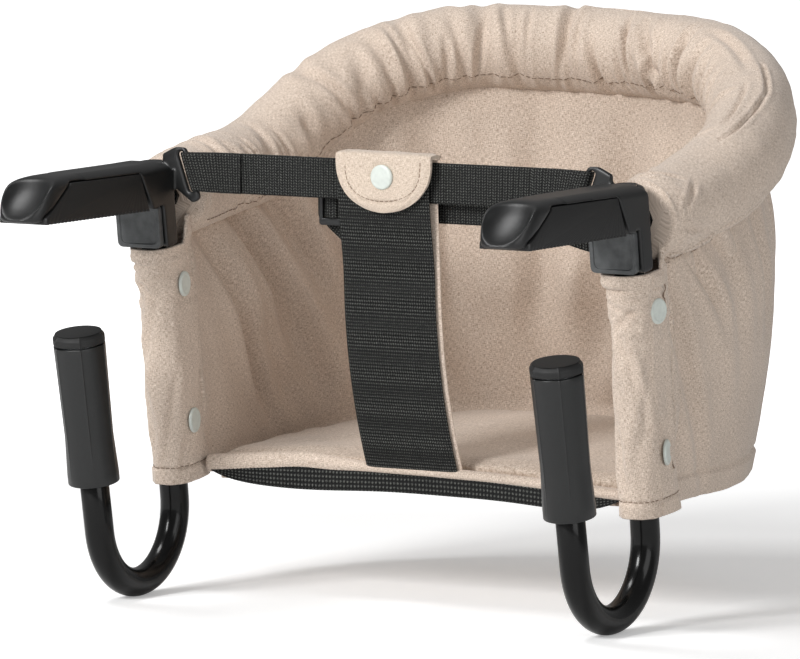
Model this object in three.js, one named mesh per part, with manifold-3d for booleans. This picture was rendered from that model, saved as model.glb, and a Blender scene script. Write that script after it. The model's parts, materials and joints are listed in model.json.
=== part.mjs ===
// A child's seat that hooks on to a table edge. Two moulded arms lie on the table top, two bent steel
// tubes come down behind the edge, turn under it and carry screw jacks that press up from below.
// A padded hoop runs round the back, and a cloth seat hangs from the hoop and the tubes.
//
// Millimetres, +Z up. The origin is the middle of the table's top edge: the table top is the plane z = 0,
// the table lies towards -Y, the seat hangs towards +Y, and +X is to the right of someone facing +Y.

import * as THREE from 'three';
import { mergeVertices } from 'three/addons/utils/BufferGeometryUtils.js';
import ManifoldModule from 'manifold-3d';

const wasm = await ManifoldModule();
wasm.setup();

const DEG = Math.PI / 180;
const TURN = 2 * Math.PI;

// Fits
const clearance = 0.3;
const runningGap = 0.5;
const overrun = 5;

// Steel tubes: the two hook tubes and the back hoop
const tubeRadius = 9;
const tubeWall = 1.5;
const halfSpan = 168;
const axisSetback = 17;
const leanAngle = 7.5 * DEG;
const spreadAngle = 3 * DEG;
const uprightTop = 24;
const bendDrop = 184.4;
const bendRadius = 43.5;
const frontLegLength = 84;
const hoopTubeRadius = 8;
const hoopRadius = 174;
const hoopCentreSetback = 120;
const hoopFrontHeight = 5;
const hoopRise = 79;
const hoopRiseStart = 3;
const hoopRiseLength = 300;
const hoopStations = 23;
const hoopSides = 8;

// Screw jacks
const jackOffset = 32.4;
const jackLength = 95.6;
const jackTopRadius = 17.5;
const jackFootRadius = 15.9;
const jackCapHeight = 7;
const jackCapChamfer = 2.6;
const fluteCount = 6;
const fluteDepth = 0.9;
const screwRadius = 4.9;
const screwHeadRadius = 12;
const screwHeadHeight = 3;
const nutLength = 14;
const nutFlange = 2;
const swivelRadius = 13;
const swivelHeight = 2.4;
const swivelPinRadius = 3;
const jackDownTravel = 10;

// Arms and their brackets
const armReach = 141;
const armWidth = 35.6;
const armHeight = 29.5;
const armFrontHeight = 28;
const armShoulder = 23;
const armUnderside = 0.8;
const spoonLength = 49;
const spoonDepth = 5.5;
const spoonRim = 2.6;
const gripHeight = 23.6;
const gripInset = 0.6;
const gripRearSetback = 13;
const gripRearSlope = 11;
const gripRearGap = 4;
const gripCoreWidth = 17.4;
const gripCoreUnderside = 6.3;
const toothPitch = 4;
const toothDepth = 1.4;
const bracketDrop = 22;
const bracketRear = 18.5;
const bracketRearTop = 13;
const bracketCornerRadius = 12;
const bracketFootRadius = 4;
const knuckleRadius = 13.5;
const knuckleTop = 28;
const knuckleRound = 5;
const padWidth = 31.5;
const padThickness = 4.2;
const padCornerRadius = 4;
const padRim = 2.6;
const padRecess = 0.9;
const padTop = 4;
const tabThickness = 3.4;
const tabSetback = 13.8;
const tabReach = 36.5;
const tabTopReach = 25.5;
const tabShoulderReach = 18;
const tabTopHeight = 38;
const tabLowHeight = 6.5;
const tabCornerRadius = 3;
const slotLength = 26;
const slotWidth = 3.6;
const slotMargin = 3.4;
const fixingRadius = 2.5;
const fixingHeadRadius = 4.5;
const fixingHeadHeight = 2.5;
const fixingHeight = 18.8;

// Hoop eyes, which the arms swing round
const eyeLow = -6;
const eyeHigh = 12;
const eyeRadius = 12;
const eyeArmWidth = 12;
const hoopTubeStart = 17;
const eyeSpigot = 18;
const washerHeight = 1.5;

// Padded hoop cover
const bolsterRadius = 27;
const bolsterStart = 19;
const bolsterEndRadius = 15;
const bolsterTaper = 15;
const bolsterBore = 9.3;
const gatherPitch = 42;
const gatherDepth = 1.8;
const bolsterStations = 37;
const bolsterSides = 12;

// Cloth walls: outer cover and padded lining
const coverThickness = 2.4;
const coverTopDrop = 22.6;
const coverTopOutset = 17;
const coverFootOutset = -1;
const coverBulge = 4;
const hemHeight = 15;
const hemThickness = 3.8;
const hemFrontDrop = 173;
const hemRearDrop = 168;
const liningThickness = 5;
const liningTopOutset = -20;
const liningFootOutset = -15;
const liningSideDrop = 19.5;
const liningRearDrop = 16.6;
const liningFootDrop = 151;
const liningFootRise = 14;

// Seat
const seatFront = 54;
const seatDrop = 168;
const seatTilt = 4.5 * DEG;
const seatInset = 21;
const cushionThickness = 10;
const cushionCrown = 4;
const cushionDrawIn = 3;
const boardThickness = 3;
const boardInset = 12;
const slingThickness = 1.6;
const slingOutset = 14;
const frontBandHeight = 14;
const frontBandThickness = 2;
const frontBandHalfLength = 146;

// Cloth sleeves round the upright tubes, with press studs
const sleeveFoot = 178;
const sleeveTop = 24.6;
const sleeveRadius = 12.5;
const sleeveReach = 25;
const sleeveFlare = 17.4;
const sleeveFlareHeight = 11;
const collarThickness = 3;
const collarStart = 14 * DEG;
const collarEnd = 90 * DEG;
const studSetback = 15.5;
const studDrops = [50, 137];
const studCapRadius = 7.5;
const studCapHeight = 2;
const studPostRadius = 2;
const studSeat = 8.2;

// Webbing
const waistWidth = 25;
const webbingThickness = 1.4;
const waistHeight = 23;
const waistSetback = 17.6;
const strapJoinGap = 1;
const crotchWidth = 65;
const crotchThickness = 2;
const liningStripThickness = 1.4;
const crotchFoot = 162;
const crotchFootSetback = 51;
const crotchBowShare = 0.16;
const crotchBowHeight = -31;
const crotchTop = 36.5;
const flapWidth = 69;
const flapHeight = 37;
const flapThickness = 3;
const flapStudHeight = 26;
const beltWidth = 25;
const beltHeight = 10;
const buckleLength = 46;
const buckleWidth = 34;
const buckleThickness = 10;
const beltEndHeight = -18;
const beltTurnAngle = 38 * DEG;
const beltTurnLength = 80;
const bucklePlace = -24;
const clipLength = 22;
const clipEntry = 14;
const adjusterLength = 20;
const adjusterThickness = 2;
const weave = 2.4;

// Finishes
const finish = (color, roughness, metalness = 0) =>
  new THREE.MeshStandardMaterial({ color, roughness, metalness });
const powderCoat = finish('#0f0f10', 0.3, 0.4);
const zincSteel = finish('#9a9c9e', 0.4, 0.9);
const nylon = finish('#232424', 0.45);
const satinPlastic = finish('#2e3030', 0.5);
const gripRubber = finish('#1b1a19', 0.85);
const padRubber = finish('#45494a', 0.7);
const beigeCloth = finish('#cdb9a3', 0.95);
const paleCloth = finish('#e0cfbe', 0.95);
const blackWebbing = finish('#1b1d1b', 0.9);
const studPlastic = finish('#dfe3dd', 0.45);
const boardPlastic = finish('#3a3a38', 0.7);

// Solids: a closed mesh goes in, a cut or joined closed mesh comes back
function solidOf(geometry) {
  const plain = geometry.clone();
  plain.deleteAttribute('normal');
  plain.deleteAttribute('uv');
  const merged = mergeVertices(plain, 1e-4);
  const index = merged.index.array;
  const place = merged.attributes.position;
  const corners = [];
  for (let i = 0; i < index.length; i += 3) {
    const [a, b, c] = [index[i], index[i + 1], index[i + 2]];
    if (a !== b && b !== c && c !== a) corners.push(a, b, c);
  }
  return new wasm.Manifold(new wasm.Mesh({
    numProp: 3,
    vertProperties: new Float32Array(place.array),
    triVerts: new Uint32Array(corners),
  }));
}

function geometryOf(solid) {
  const mesh = solid.getMesh();
  const geometry = new THREE.BufferGeometry();
  geometry.setAttribute('position', new THREE.BufferAttribute(new Float32Array(mesh.vertProperties), 3));
  geometry.setIndex(new THREE.BufferAttribute(new Uint32Array(mesh.triVerts), 1));
  const flat = geometry.toNonIndexed();
  flat.computeVertexNormals();
  return flat;
}

const cut = (body, ...tools) =>
  geometryOf(tools.reduce((solid, tool) => solid.subtract(solidOf(tool)), solidOf(body)));
const join = (...parts) =>
  geometryOf(parts.slice(1).reduce((solid, part) => solid.add(solidOf(part)), solidOf(parts[0])));
const common = (...parts) =>
  geometryOf(parts.slice(1).reduce((solid, part) => solid.intersect(solidOf(part)), solidOf(parts[0])));

// The left-hand copy of a right-hand piece
function mirrored(geometry) {
  const copy = geometry.index ? geometry.toNonIndexed() : geometry.clone();
  copy.scale(-1, 1, 1);
  const place = copy.attributes.position;
  for (let i = 0; i < place.count; i += 3) {
    const second = new THREE.Vector3().fromBufferAttribute(place, i + 1);
    const third = new THREE.Vector3().fromBufferAttribute(place, i + 2);
    place.setXYZ(i + 1, third.x, third.y, third.z);
    place.setXYZ(i + 2, second.x, second.y, second.z);
  }
  copy.computeVertexNormals();
  return copy;
}

// Extrusions of a flat outline along one axis. The outline is drawn as (y, z), (x, z) or (x, y).
function extruded(shape, from, to, basis, segments) {
  const geometry = new THREE.ExtrudeGeometry(shape, {
    depth: to - from, bevelEnabled: false, curveSegments: segments,
  });
  geometry.translate(0, 0, from);
  return geometry.applyMatrix4(basis);
}
const axes = (a, b, c) => new THREE.Matrix4().makeBasis(
  new THREE.Vector3(...a), new THREE.Vector3(...b), new THREE.Vector3(...c));
const sideOn = axes([0, 1, 0], [0, 0, 1], [1, 0, 0]);
const faceOn = axes([1, 0, 0], [0, 0, 1], [0, -1, 0]);
const alongX = (shape, from, to, segments = 8) => extruded(shape, from, to, sideOn, segments);
const alongY = (shape, from, to, segments = 8) => extruded(shape, -to, -from, faceOn, segments);
const alongZ = (shape, from, to, segments = 8) =>
  extruded(shape, from, to, new THREE.Matrix4(), segments);
const block = (lowX, highX, lowY, highY, lowZ, highZ) =>
  new THREE.BoxGeometry(highX - lowX, highY - lowY, highZ - lowZ)
    .translate((lowX + highX) / 2, (lowY + highY) / 2, (lowZ + highZ) / 2);

function polygon(points) {
  return new THREE.Shape(points.map(([a, b]) => new THREE.Vector2(a, b)));
}

// A polygon whose corners are rounded, one radius for each corner
function roundedPolygon(points, radii) {
  const shape = new THREE.Shape();
  points.forEach(([x, y], i) => {
    const corner = new THREE.Vector2(x, y);
    const before = new THREE.Vector2(...points[(i + points.length - 1) % points.length]).sub(corner);
    const after = new THREE.Vector2(...points[(i + 1) % points.length]).sub(corner);
    const open = Math.abs(before.angleTo(after));
    const radius = Math.min(radii[i], 0.45 * Math.min(before.length(), after.length()) * Math.tan(open / 2));
    const back = radius / Math.tan(open / 2);
    const start = corner.clone().add(before.setLength(back));
    const end = corner.clone().add(after.setLength(back));
    if (i === 0) shape.moveTo(start.x, start.y);
    else shape.lineTo(start.x, start.y);
    shape.quadraticCurveTo(corner.x, corner.y, end.x, end.y);
  });
  shape.closePath();
  return shape;
}

// A piece turned about the Z axis from a profile of [radius, height] points
function turned(profile, sides = 24) {
  const points = profile.map(([radius, height]) => new THREE.Vector2(radius, height));
  return new THREE.LatheGeometry(points, sides).rotateX(Math.PI / 2);
}
const rod = (radius, low, high, sides = 24) =>
  turned([[0, low], [radius, low], [radius, high], [0, high]], sides);
const ring = (inner, outer, low, high, sides = 24) =>
  turned([[inner, low], [outer, low], [outer, high], [inner, high], [inner, low]], sides);

// Skin over rings of points. A tube with a bore has outer and inner rings, and its ends are flat.
function skinned(outer, inner) {
  const count = outer[0].length;
  const place = [];
  const faces = [];
  const lay = (rings) => {
    const base = place.length / 3;
    rings.forEach((points) => points.forEach((point) => place.push(point.x, point.y, point.z)));
    return (station, corner) => base + station * count + (corner % count);
  };
  const quad = (a, b, c, d) => faces.push(a, b, c, a, c, d);
  const at = lay(outer);
  const last = outer.length - 1;
  for (let s = 0; s < last; s += 1) {
    for (let c = 0; c < count; c += 1) quad(at(s, c), at(s, c + 1), at(s + 1, c + 1), at(s + 1, c));
  }
  if (inner) {
    const within = lay(inner);
    for (let s = 0; s < last; s += 1) {
      for (let c = 0; c < count; c += 1) {
        quad(within(s + 1, c), within(s + 1, c + 1), within(s, c + 1), within(s, c));
      }
    }
    for (let c = 0; c < count; c += 1) {
      quad(at(0, c + 1), at(0, c), within(0, c), within(0, c + 1));
      quad(at(last, c), at(last, c + 1), within(last, c + 1), within(last, c));
    }
  } else {
    [[0, true], [last, false]].forEach(([station, first]) => {
      const middle = new THREE.Vector3();
      outer[station].forEach((point) => middle.addScaledVector(point, 1 / count));
      const hub = place.length / 3;
      place.push(middle.x, middle.y, middle.z);
      for (let c = 0; c < count; c += 1) {
        if (first) faces.push(hub, at(station, c + 1), at(station, c));
        else faces.push(hub, at(station, c), at(station, c + 1));
      }
    });
  }
  return outward(place, faces);
}

// Turns a closed skin the right way out
function outward(place, faces) {
  const corner = (i) => new THREE.Vector3(place[3 * i], place[3 * i + 1], place[3 * i + 2]);
  let volume = 0;
  for (let i = 0; i < faces.length; i += 3) {
    volume += corner(faces[i]).dot(corner(faces[i + 1]).cross(corner(faces[i + 2])));
  }
  if (volume < 0) faces.reverse();
  const geometry = new THREE.BufferGeometry();
  geometry.setAttribute('position', new THREE.Float32BufferAttribute(place, 3));
  geometry.setIndex(faces);
  const flat = geometry.toNonIndexed();
  flat.computeVertexNormals();
  return flat;
}

// A ring of points round a centre, in the plane of two unit vectors
function circleRing(centre, across, up, radius, sides) {
  return Array.from({ length: sides }, (_, i) => {
    const angle = (TURN * i) / sides;
    return centre.clone()
      .addScaledVector(across, radius * Math.cos(angle))
      .addScaledVector(up, radius * Math.sin(angle));
  });
}

const smooth = (t) => {
  const u = Math.min(Math.max(t, 0), 1);
  return u * u * (3 - 2 * u);
};
const mix = (a, b, t) => a + (b - a) * t;

// Frames: each side's upright, and the front leg of its hook
const uprightFrame = new THREE.Matrix4()
  .makeRotationX(leanAngle)
  .setPosition(halfSpan, axisSetback, 0);
const endAngle = -Math.PI + spreadAngle;
const bendCentre = new THREE.Vector3(0, -bendRadius, -bendDrop);
const bendPoint = (angle) => bendCentre.clone().add(
  new THREE.Vector3(0, bendRadius * Math.cos(angle), bendRadius * Math.sin(angle)));
const inUpright = (geometry) => geometry.clone().applyMatrix4(uprightFrame);
const uprightPoint = (y, z) => {
  const point = new THREE.Vector3(0, y, z).applyMatrix4(uprightFrame);
  return [point.y, point.z];
};

// The hook tube: down the upright, round the bend and up the front leg
const bendSteps = 13;
const tubeSides = 12;
function hookTube() {
  const xAxis = new THREE.Vector3(1, 0, 0);
  const rings = (radius) => {
    const rear = new THREE.Vector3(0, 1, 0);
    const stations = [circleRing(new THREE.Vector3(0, 0, uprightTop), xAxis, rear, radius, tubeSides)];
    for (let i = 0; i <= bendSteps; i += 1) {
      const angle = (endAngle * i) / bendSteps;
      const out = new THREE.Vector3(0, Math.cos(angle), Math.sin(angle));
      stations.push(circleRing(bendPoint(angle), xAxis, out, radius, tubeSides));
    }
    const out = new THREE.Vector3(0, Math.cos(endAngle), Math.sin(endAngle));
    const up = new THREE.Vector3(0, Math.sin(endAngle), -Math.cos(endAngle));
    const end = bendPoint(endAngle).addScaledVector(up, frontLegLength);
    stations.push(circleRing(end, xAxis, out, radius, tubeSides));
    return stations;
  };
  return skinned(rings(tubeRadius), rings(tubeRadius - tubeWall));
}

// Screw jack, in the front leg's frame: z runs up the leg from the end of the bend
const jackTop = jackOffset + jackLength;
const sleeveEnd = jackTop - jackCapHeight - clearance;
const screwHeadSeat = sleeveEnd - screwHeadHeight - swivelHeight;
const webUnderside = frontLegLength + nutFlange + clearance + jackDownTravel + runningGap;
const fluteSides = 6 * fluteCount;

function jackSleeve() {
  const flutes = (height, radius, depth) => Array.from({ length: fluteSides }, (_, i) => {
    const angle = (TURN * i) / fluteSides;
    const dip = depth * Math.max(0, Math.cos(fluteCount * angle)) ** 0.5;
    return new THREE.Vector3(
      (radius - dip) * Math.cos(angle), (radius - dip) * Math.sin(angle), height);
  });
  const levelShares = [0, 0.04, 0.3, 0.94, 1];
  const depthShares = [0, 0, 0.6, 1, 0];
  const outer = levelShares.map((share, i) => flutes(
    mix(jackOffset, sleeveEnd, share), mix(jackFootRadius, jackTopRadius, share),
    fluteDepth * depthShares[i]));
  const bore = rod(tubeRadius + runningGap, jackOffset - overrun, webUnderside);
  const screwBore = rod(screwRadius + clearance, webUnderside - overrun, sleeveEnd + overrun);
  const headSeat = rod(swivelRadius + clearance, screwHeadSeat - clearance, sleeveEnd + overrun);
  return cut(skinned(outer), bore, screwBore, headSeat);
}

function jackScrew() {
  const head = screwHeadSeat + screwHeadHeight;
  const foot = screwRadius - tubeWall;
  const body = turned([
    [0, screwHeadSeat - jackLength + tubeWall], [foot, screwHeadSeat - jackLength + tubeWall],
    [screwRadius, screwHeadSeat - jackLength + 2 * tubeWall],
    [screwRadius, screwHeadSeat], [screwHeadRadius, screwHeadSeat], [screwHeadRadius, head], [0, head],
  ], 20);
  const pinHole = rod(swivelPinRadius + clearance, screwHeadSeat, head + overrun);
  return cut(body, pinHole);
}

function jackNut() {
  const low = frontLegLength - nutLength;
  const seat = frontLegLength + clearance;
  return turned([
    [screwRadius + clearance, low], [tubeRadius - tubeWall - clearance, low],
    [tubeRadius - tubeWall - clearance, seat], [tubeRadius, seat],
    [tubeRadius, seat + nutFlange], [screwRadius + clearance, seat + nutFlange],
    [screwRadius + clearance, low],
  ], 20);
}

function jackCap() {
  const low = sleeveEnd + clearance;
  const seat = low + swivelHeight / 2;
  return turned([
    [0, seat + clearance], [swivelRadius + clearance, seat + clearance], [swivelRadius + clearance, low],
    [jackTopRadius, low], [jackTopRadius, jackTop - jackCapChamfer],
    [jackTopRadius - jackCapChamfer, jackTop], [0, jackTop],
  ], 24);
}

function jackSwivel() {
  const top = sleeveEnd + clearance + swivelHeight / 2;
  const low = top - swivelHeight;
  const pinEnd = screwHeadSeat + clearance;
  return turned([
    [0, pinEnd], [swivelPinRadius, pinEnd], [swivelPinRadius, low], [swivelRadius, low],
    [swivelRadius, top], [0, top],
  ], 24);
}

// Arm and bracket, one moulding, drawn in the object's frame on the right-hand side
const rimLine = [
  [-armReach + 0.2 * spoonRim, 3 * armUnderside],
  [-armReach + 0.08 * spoonLength, 0.24 * armFrontHeight],
  [-armReach + 0.2 * spoonLength, 0.5 * armFrontHeight],
  [-armReach + 0.34 * spoonLength, 0.74 * armFrontHeight],
  [-armReach + 0.5 * spoonLength, 0.9 * armFrontHeight],
  [-armReach + 0.74 * spoonLength, 0.98 * armFrontHeight],
];

const padSeat = -(axisSetback + 1.5 - padThickness);

function armSide() {
  const shape = new THREE.Shape();
  const [frontY, frontZ] = uprightPoint(padSeat, -bracketDrop);
  const [neckY, neckZ] = uprightPoint(padSeat, padTop);
  const [noseY, noseZ] = uprightPoint(padSeat - padThickness - clearance, padTop);
  shape.moveTo(-armReach + 2 * spoonRim, armUnderside);
  shape.lineTo(noseY - clearance, armUnderside);
  shape.lineTo(noseY - clearance, noseZ + 2 * clearance);
  shape.lineTo(neckY, neckZ + clearance);
  shape.lineTo(frontY, frontZ + bracketFootRadius);
  shape.quadraticCurveTo(frontY, frontZ, frontY + bracketFootRadius, frontZ);
  shape.lineTo(bracketRear - bracketFootRadius, frontZ + armUnderside);
  shape.quadraticCurveTo(bracketRear, frontZ + armUnderside, bracketRear, frontZ + bracketFootRadius);
  shape.lineTo(bracketRearTop, armHeight - bracketCornerRadius + bracketFootRadius);
  shape.quadraticCurveTo(
    bracketRearTop - armUnderside, armHeight, bracketRearTop - bracketCornerRadius, armHeight);
  shape.lineTo(-gripRearSetback, armHeight - armUnderside);
  shape.lineTo(-armReach + spoonLength, armFrontHeight);
  const line = [...rimLine].reverse().map(([y, z]) => new THREE.Vector2(y, z));
  shape.splineThru(line);
  shape.closePath();
  return shape;
}

// The arm seen from the front, with its crown, tipped so that the crown follows the top's slope
const armSlope = Math.atan2(
  armHeight - armUnderside - armFrontHeight, armReach - spoonLength - gripRearSetback);

function armFront() {
  const half = armWidth / 2;
  const shape = new THREE.Shape();
  shape.moveTo(halfSpan - half, -2 * bracketDrop);
  shape.lineTo(halfSpan + half, -2 * bracketDrop);
  shape.lineTo(halfSpan + half, armShoulder);
  shape.absellipse(halfSpan, armShoulder, half, armHeight - armShoulder + clearance, 0, Math.PI);
  shape.lineTo(halfSpan - half, -2 * bracketDrop);
  return shape;
}

function armPlan() {
  const half = armWidth / 2;
  const noseRoot = -armReach + 1.2 * half;
  const shape = new THREE.Shape();
  shape.moveTo(halfSpan + half, noseRoot);
  shape.lineTo(halfSpan + half, 2 * bracketRear);
  shape.lineTo(halfSpan - half, 2 * bracketRear);
  shape.lineTo(halfSpan - half, noseRoot);
  shape.absellipse(halfSpan, noseRoot, half, noseRoot + armReach, Math.PI, TURN);
  return shape;
}

// The rubber grip's outline from the side, grown all round by a margin for its pocket in the moulding
function gripSide(margin, under) {
  const shape = new THREE.Shape();
  shape.moveTo(-armReach + 0.26 * spoonLength - margin, under);
  if (margin > 0) {
    shape.lineTo(-gripRearSetback + gripRearGap, under);
    shape.lineTo(-gripRearSetback + gripRearGap, margin);
  } else shape.lineTo(-gripRearSetback, under);
  shape.lineTo(-gripRearSetback - gripRearSlope + margin, gripHeight + margin);
  shape.lineTo(-armReach + 0.82 * spoonLength - margin, gripHeight + margin);
  shape.quadraticCurveTo(
    -armReach + 0.66 * spoonLength - margin, 0.72 * gripHeight + margin,
    -armReach + 0.26 * spoonLength - margin, toothPitch);
  shape.closePath();
  return shape;
}

function bands(width) {
  return [[halfSpan - armWidth / 2 - overrun, halfSpan - width / 2],
    [halfSpan + width / 2, halfSpan + armWidth / 2 + overrun]];
}

const slotTilt = Math.atan2(tabReach - tabTopReach, tabTopHeight - tabLowHeight);

function strapTab() {
  const inboard = (reach) => halfSpan - reach;
  const cornerShares = [0.1, 0.1, 1, 1, 1, 1, 0.5, 0.1];
  const root = gripCoreWidth / 2;
  const outline = roundedPolygon([
    [inboard(root), armShoulder], [inboard(root), tabTopHeight - 1.5 * tabCornerRadius],
    [inboard(tabShoulderReach), tabTopHeight], [inboard(tabTopReach), tabTopHeight],
    [inboard(tabReach), tabLowHeight],
    [inboard(tabReach - 2 * tabCornerRadius), tabLowHeight - tabCornerRadius],
    [inboard(armWidth / 2 + clearance), eyeHigh + clearance],
    [inboard(root), eyeHigh + clearance],
  ], cornerShares.map((share) => share * tabCornerRadius));
  return alongY(outline, tabSetback, tabSetback + tabThickness, 4);
}

function slotTool(width, length, deep) {
  const reach = (tabReach + tabTopReach) / 2 - slotMargin - slotWidth / 2;
  return new THREE.BoxGeometry(width, deep, length)
    .rotateY(slotTilt)
    .translate(halfSpan - reach, tabSetback + tabThickness / 2, waistHeight);
}

function spoonDish() {
  const angle = Math.atan2(0.66 * armFrontHeight, 0.42 * spoonLength);
  const half = armWidth / 2 - spoonRim;
  const dish = new THREE.SphereGeometry(1, 16, 8).scale(half, 0.42 * spoonLength, spoonDepth);
  return dish
    .rotateX(angle)
    .translate(halfSpan, -armReach + 0.3 * spoonLength, 0.62 * armFrontHeight);
}

function armShell() {
  const half = armWidth / 2;
  const outer = common(
    alongX(armSide(), halfSpan - half, halfSpan + half, 5),
    alongY(armFront(), -armReach - overrun, 2 * bracketRear, 8)
      .translate(0, gripRearSetback, -armHeight).rotateX(armSlope)
      .translate(0, -gripRearSetback, armHeight),
    alongZ(armPlan(), -2 * bracketDrop, 2 * armHeight, 7),
  );
  const knuckles = inUpright(turned([
    [0, -bracketDrop + clearance], [knuckleRadius, -bracketDrop + clearance],
    [knuckleRadius, knuckleTop - knuckleRound],
    [knuckleRadius - 0.3 * knuckleRound, knuckleTop - 0.3 * knuckleRound],
    [knuckleRadius - knuckleRound, knuckleTop], [0, knuckleTop],
  ], 16));
  const sides = bands(gripCoreWidth).map(([low, high]) =>
    alongX(gripSide(clearance, -overrun), low, high, 5));
  const below = alongX(gripSide(clearance, -overrun), halfSpan - half, halfSpan + half, 5);
  const coreSpace = cut(below, block(halfSpan - half, halfSpan + half, -armReach, bracketRear,
    gripCoreUnderside, armHeight));
  const tubeBore = inUpright(rod(tubeRadius + clearance, -2 * bracketDrop, uprightTop + clearance, 16));
  const eyeSpace = inUpright(join(
    rod(eyeRadius + clearance, eyeLow - washerHeight - clearance, eyeHigh + clearance, 20),
    block(-knuckleRadius, knuckleRadius, -2 * clearance, 2 * knuckleRadius,
      eyeLow - washerHeight - clearance, eyeHigh + clearance),
  ));
  const fixing = inUpright(rod(fixingRadius + clearance, 0, 2 * knuckleRadius, 12)
    .rotateX(-Math.PI / 2).translate(0, 0, fixingHeight));
  const shell = cut(join(outer, knuckles, strapTab()),
    ...sides, coreSpace, tubeBore, eyeSpace, fixing, spoonDish(),
    slotTool(slotWidth, slotLength, 3 * tabThickness));
  return shell;
}

// Rubber grip: a channel round the moulding's core, with teeth along its foot
function armGrip() {
  const half = armWidth / 2 - gripInset;
  const outline = alongX(gripSide(0, 0), halfSpan - half, halfSpan + half, 6);
  const core = block(
    halfSpan - gripCoreWidth / 2 - clearance, halfSpan + gripCoreWidth / 2 + clearance,
    -armReach, bracketRear, gripCoreUnderside - clearance, 2 * armHeight);
  const first = -armReach + 0.32 * spoonLength;
  const count = Math.floor((-gripRearSetback - first) / toothPitch);
  const notchShares = [[0, 0], [0.15, 1], [0.4, 1], [0.55, 0]];
  const combPoints = [[first, -overrun]];
  for (let i = 0; i < count; i += 1) {
    notchShares.forEach(([along, deep]) => combPoints.push(
      [first + (i + along) * toothPitch, mix(-clearance, toothDepth, deep)]));
  }
  combPoints.push([first + count * toothPitch, -overrun]);
  const comb = alongX(polygon(combPoints), halfSpan - armWidth, halfSpan + armWidth);
  return cut(outline, core, comb);
}

// Rubber pad on the bracket's front, which meets the table's edge. Upright frame.
function edgePad() {
  const half = padWidth / 2;
  const low = -bracketDrop - clearance;
  const frame = (inset) => roundedPolygon(
    [[-half + inset, low + inset], [half - inset, low + inset],
      [half - inset, padTop - inset], [-half + inset, padTop - inset]],
    [padCornerRadius, padCornerRadius, padCornerRadius / 2, padCornerRadius / 2]);
  const back = padSeat - clearance;
  const plate = alongY(frame(0), back - padThickness, back, 4);
  const recess = alongY(frame(padRim), back - padThickness - overrun, back - padThickness + padRecess, 4);
  return cut(plate, recess);
}

// The screw that fixes the moulding to the upright tube, from behind. Upright frame.
function bracketScrew() {
  const seat = knuckleRadius + clearance;
  return turned([
    [0, tubeRadius + 2 * clearance], [fixingRadius, tubeRadius + 2 * clearance], [fixingRadius, seat],
    [fixingHeadRadius, seat], [fixingHeadRadius, seat + fixingHeadHeight / 2],
    [fixingHeadRadius / 2, seat + fixingHeadHeight], [0, seat + fixingHeadHeight],
  ], 16).rotateX(-Math.PI / 2).translate(0, 0, fixingHeight);
}

// The hoop's plan: two sides that open slightly, joined by a half circle
const sideAngle = Math.atan2(hoopRadius - halfSpan, hoopCentreSetback - axisSetback);
const sideLength = (hoopCentreSetback - axisSetback) / Math.cos(sideAngle);
const hoopLength = 2 * sideLength + Math.PI * hoopRadius;

function hoopAt(along) {
  const fromEnd = Math.min(along, hoopLength - along);
  const side = along < hoopLength / 2 ? 1 : -1;
  const height = hoopFrontHeight + hoopRise * smooth((fromEnd - hoopRiseStart) / hoopRiseLength);
  if (fromEnd < sideLength) {
    const t = fromEnd / sideLength;
    return {
      point: new THREE.Vector3(
        side * mix(halfSpan, hoopRadius, t), mix(axisSetback, hoopCentreSetback, t), height),
      out: new THREE.Vector3(side * Math.cos(sideAngle), -Math.sin(sideAngle), 0),
      rearShare: 0,
    };
  }
  const angle = (fromEnd - sideLength) / hoopRadius;
  return {
    point: new THREE.Vector3(
      side * hoopRadius * Math.cos(angle), hoopCentreSetback + hoopRadius * Math.sin(angle), height),
    out: new THREE.Vector3(side * Math.cos(angle), Math.sin(angle), 0),
    rearShare: Math.sin(angle),
  };
}

const stationsAlong = (start, count) => Array.from({ length: count }, (_, i) =>
  mix(start, hoopLength - start, i / (count - 1)));
const upAxis = new THREE.Vector3(0, 0, 1);

function hoopTube() {
  const rings = (radius) => stationsAlong(hoopTubeStart, hoopStations).map((along) => {
    const { point, out } = hoopAt(along);
    return circleRing(point, out, upAxis, radius, hoopSides);
  });
  return skinned(rings(hoopTubeRadius), rings(hoopTubeRadius - tubeWall));
}

// The hoop's eye round the upright, with a spigot that enters the hoop tube
function hoopEye() {
  const boss = inUpright(ring(tubeRadius + clearance, eyeRadius, eyeLow, eyeHigh, 28));
  const { out } = hoopAt(0);
  const bar = (from, to, radius) => skinned([from, to].map((point) =>
    circleRing(point, out, upAxis, radius, hoopSides)));
  const [first, second] = stationsAlong(hoopTubeStart, hoopStations).map((along) => hoopAt(along).point);
  const run = second.clone().sub(first);
  const step = run.length();
  const root = first.clone().addScaledVector(run, -0.4 * hoopTubeStart / step);
  const neckEnd = first.clone().addScaledVector(run, -clearance / step);
  const end = first.clone().addScaledVector(run, eyeSpigot / step);
  const spigotRadius = hoopTubeRadius - tubeWall - clearance;
  const stem = join(bar(root, neckEnd, eyeArmWidth / 2), bar(root, end, spigotRadius));
  const bore = inUpright(rod(tubeRadius + clearance, eyeLow - overrun, eyeHigh + overrun, 28));
  return cut(join(boss, stem), bore);
}

const eyeWasher = () =>
  ring(tubeRadius + clearance, eyeRadius, eyeLow - washerHeight, eyeLow - clearance / 2, 20);

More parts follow.
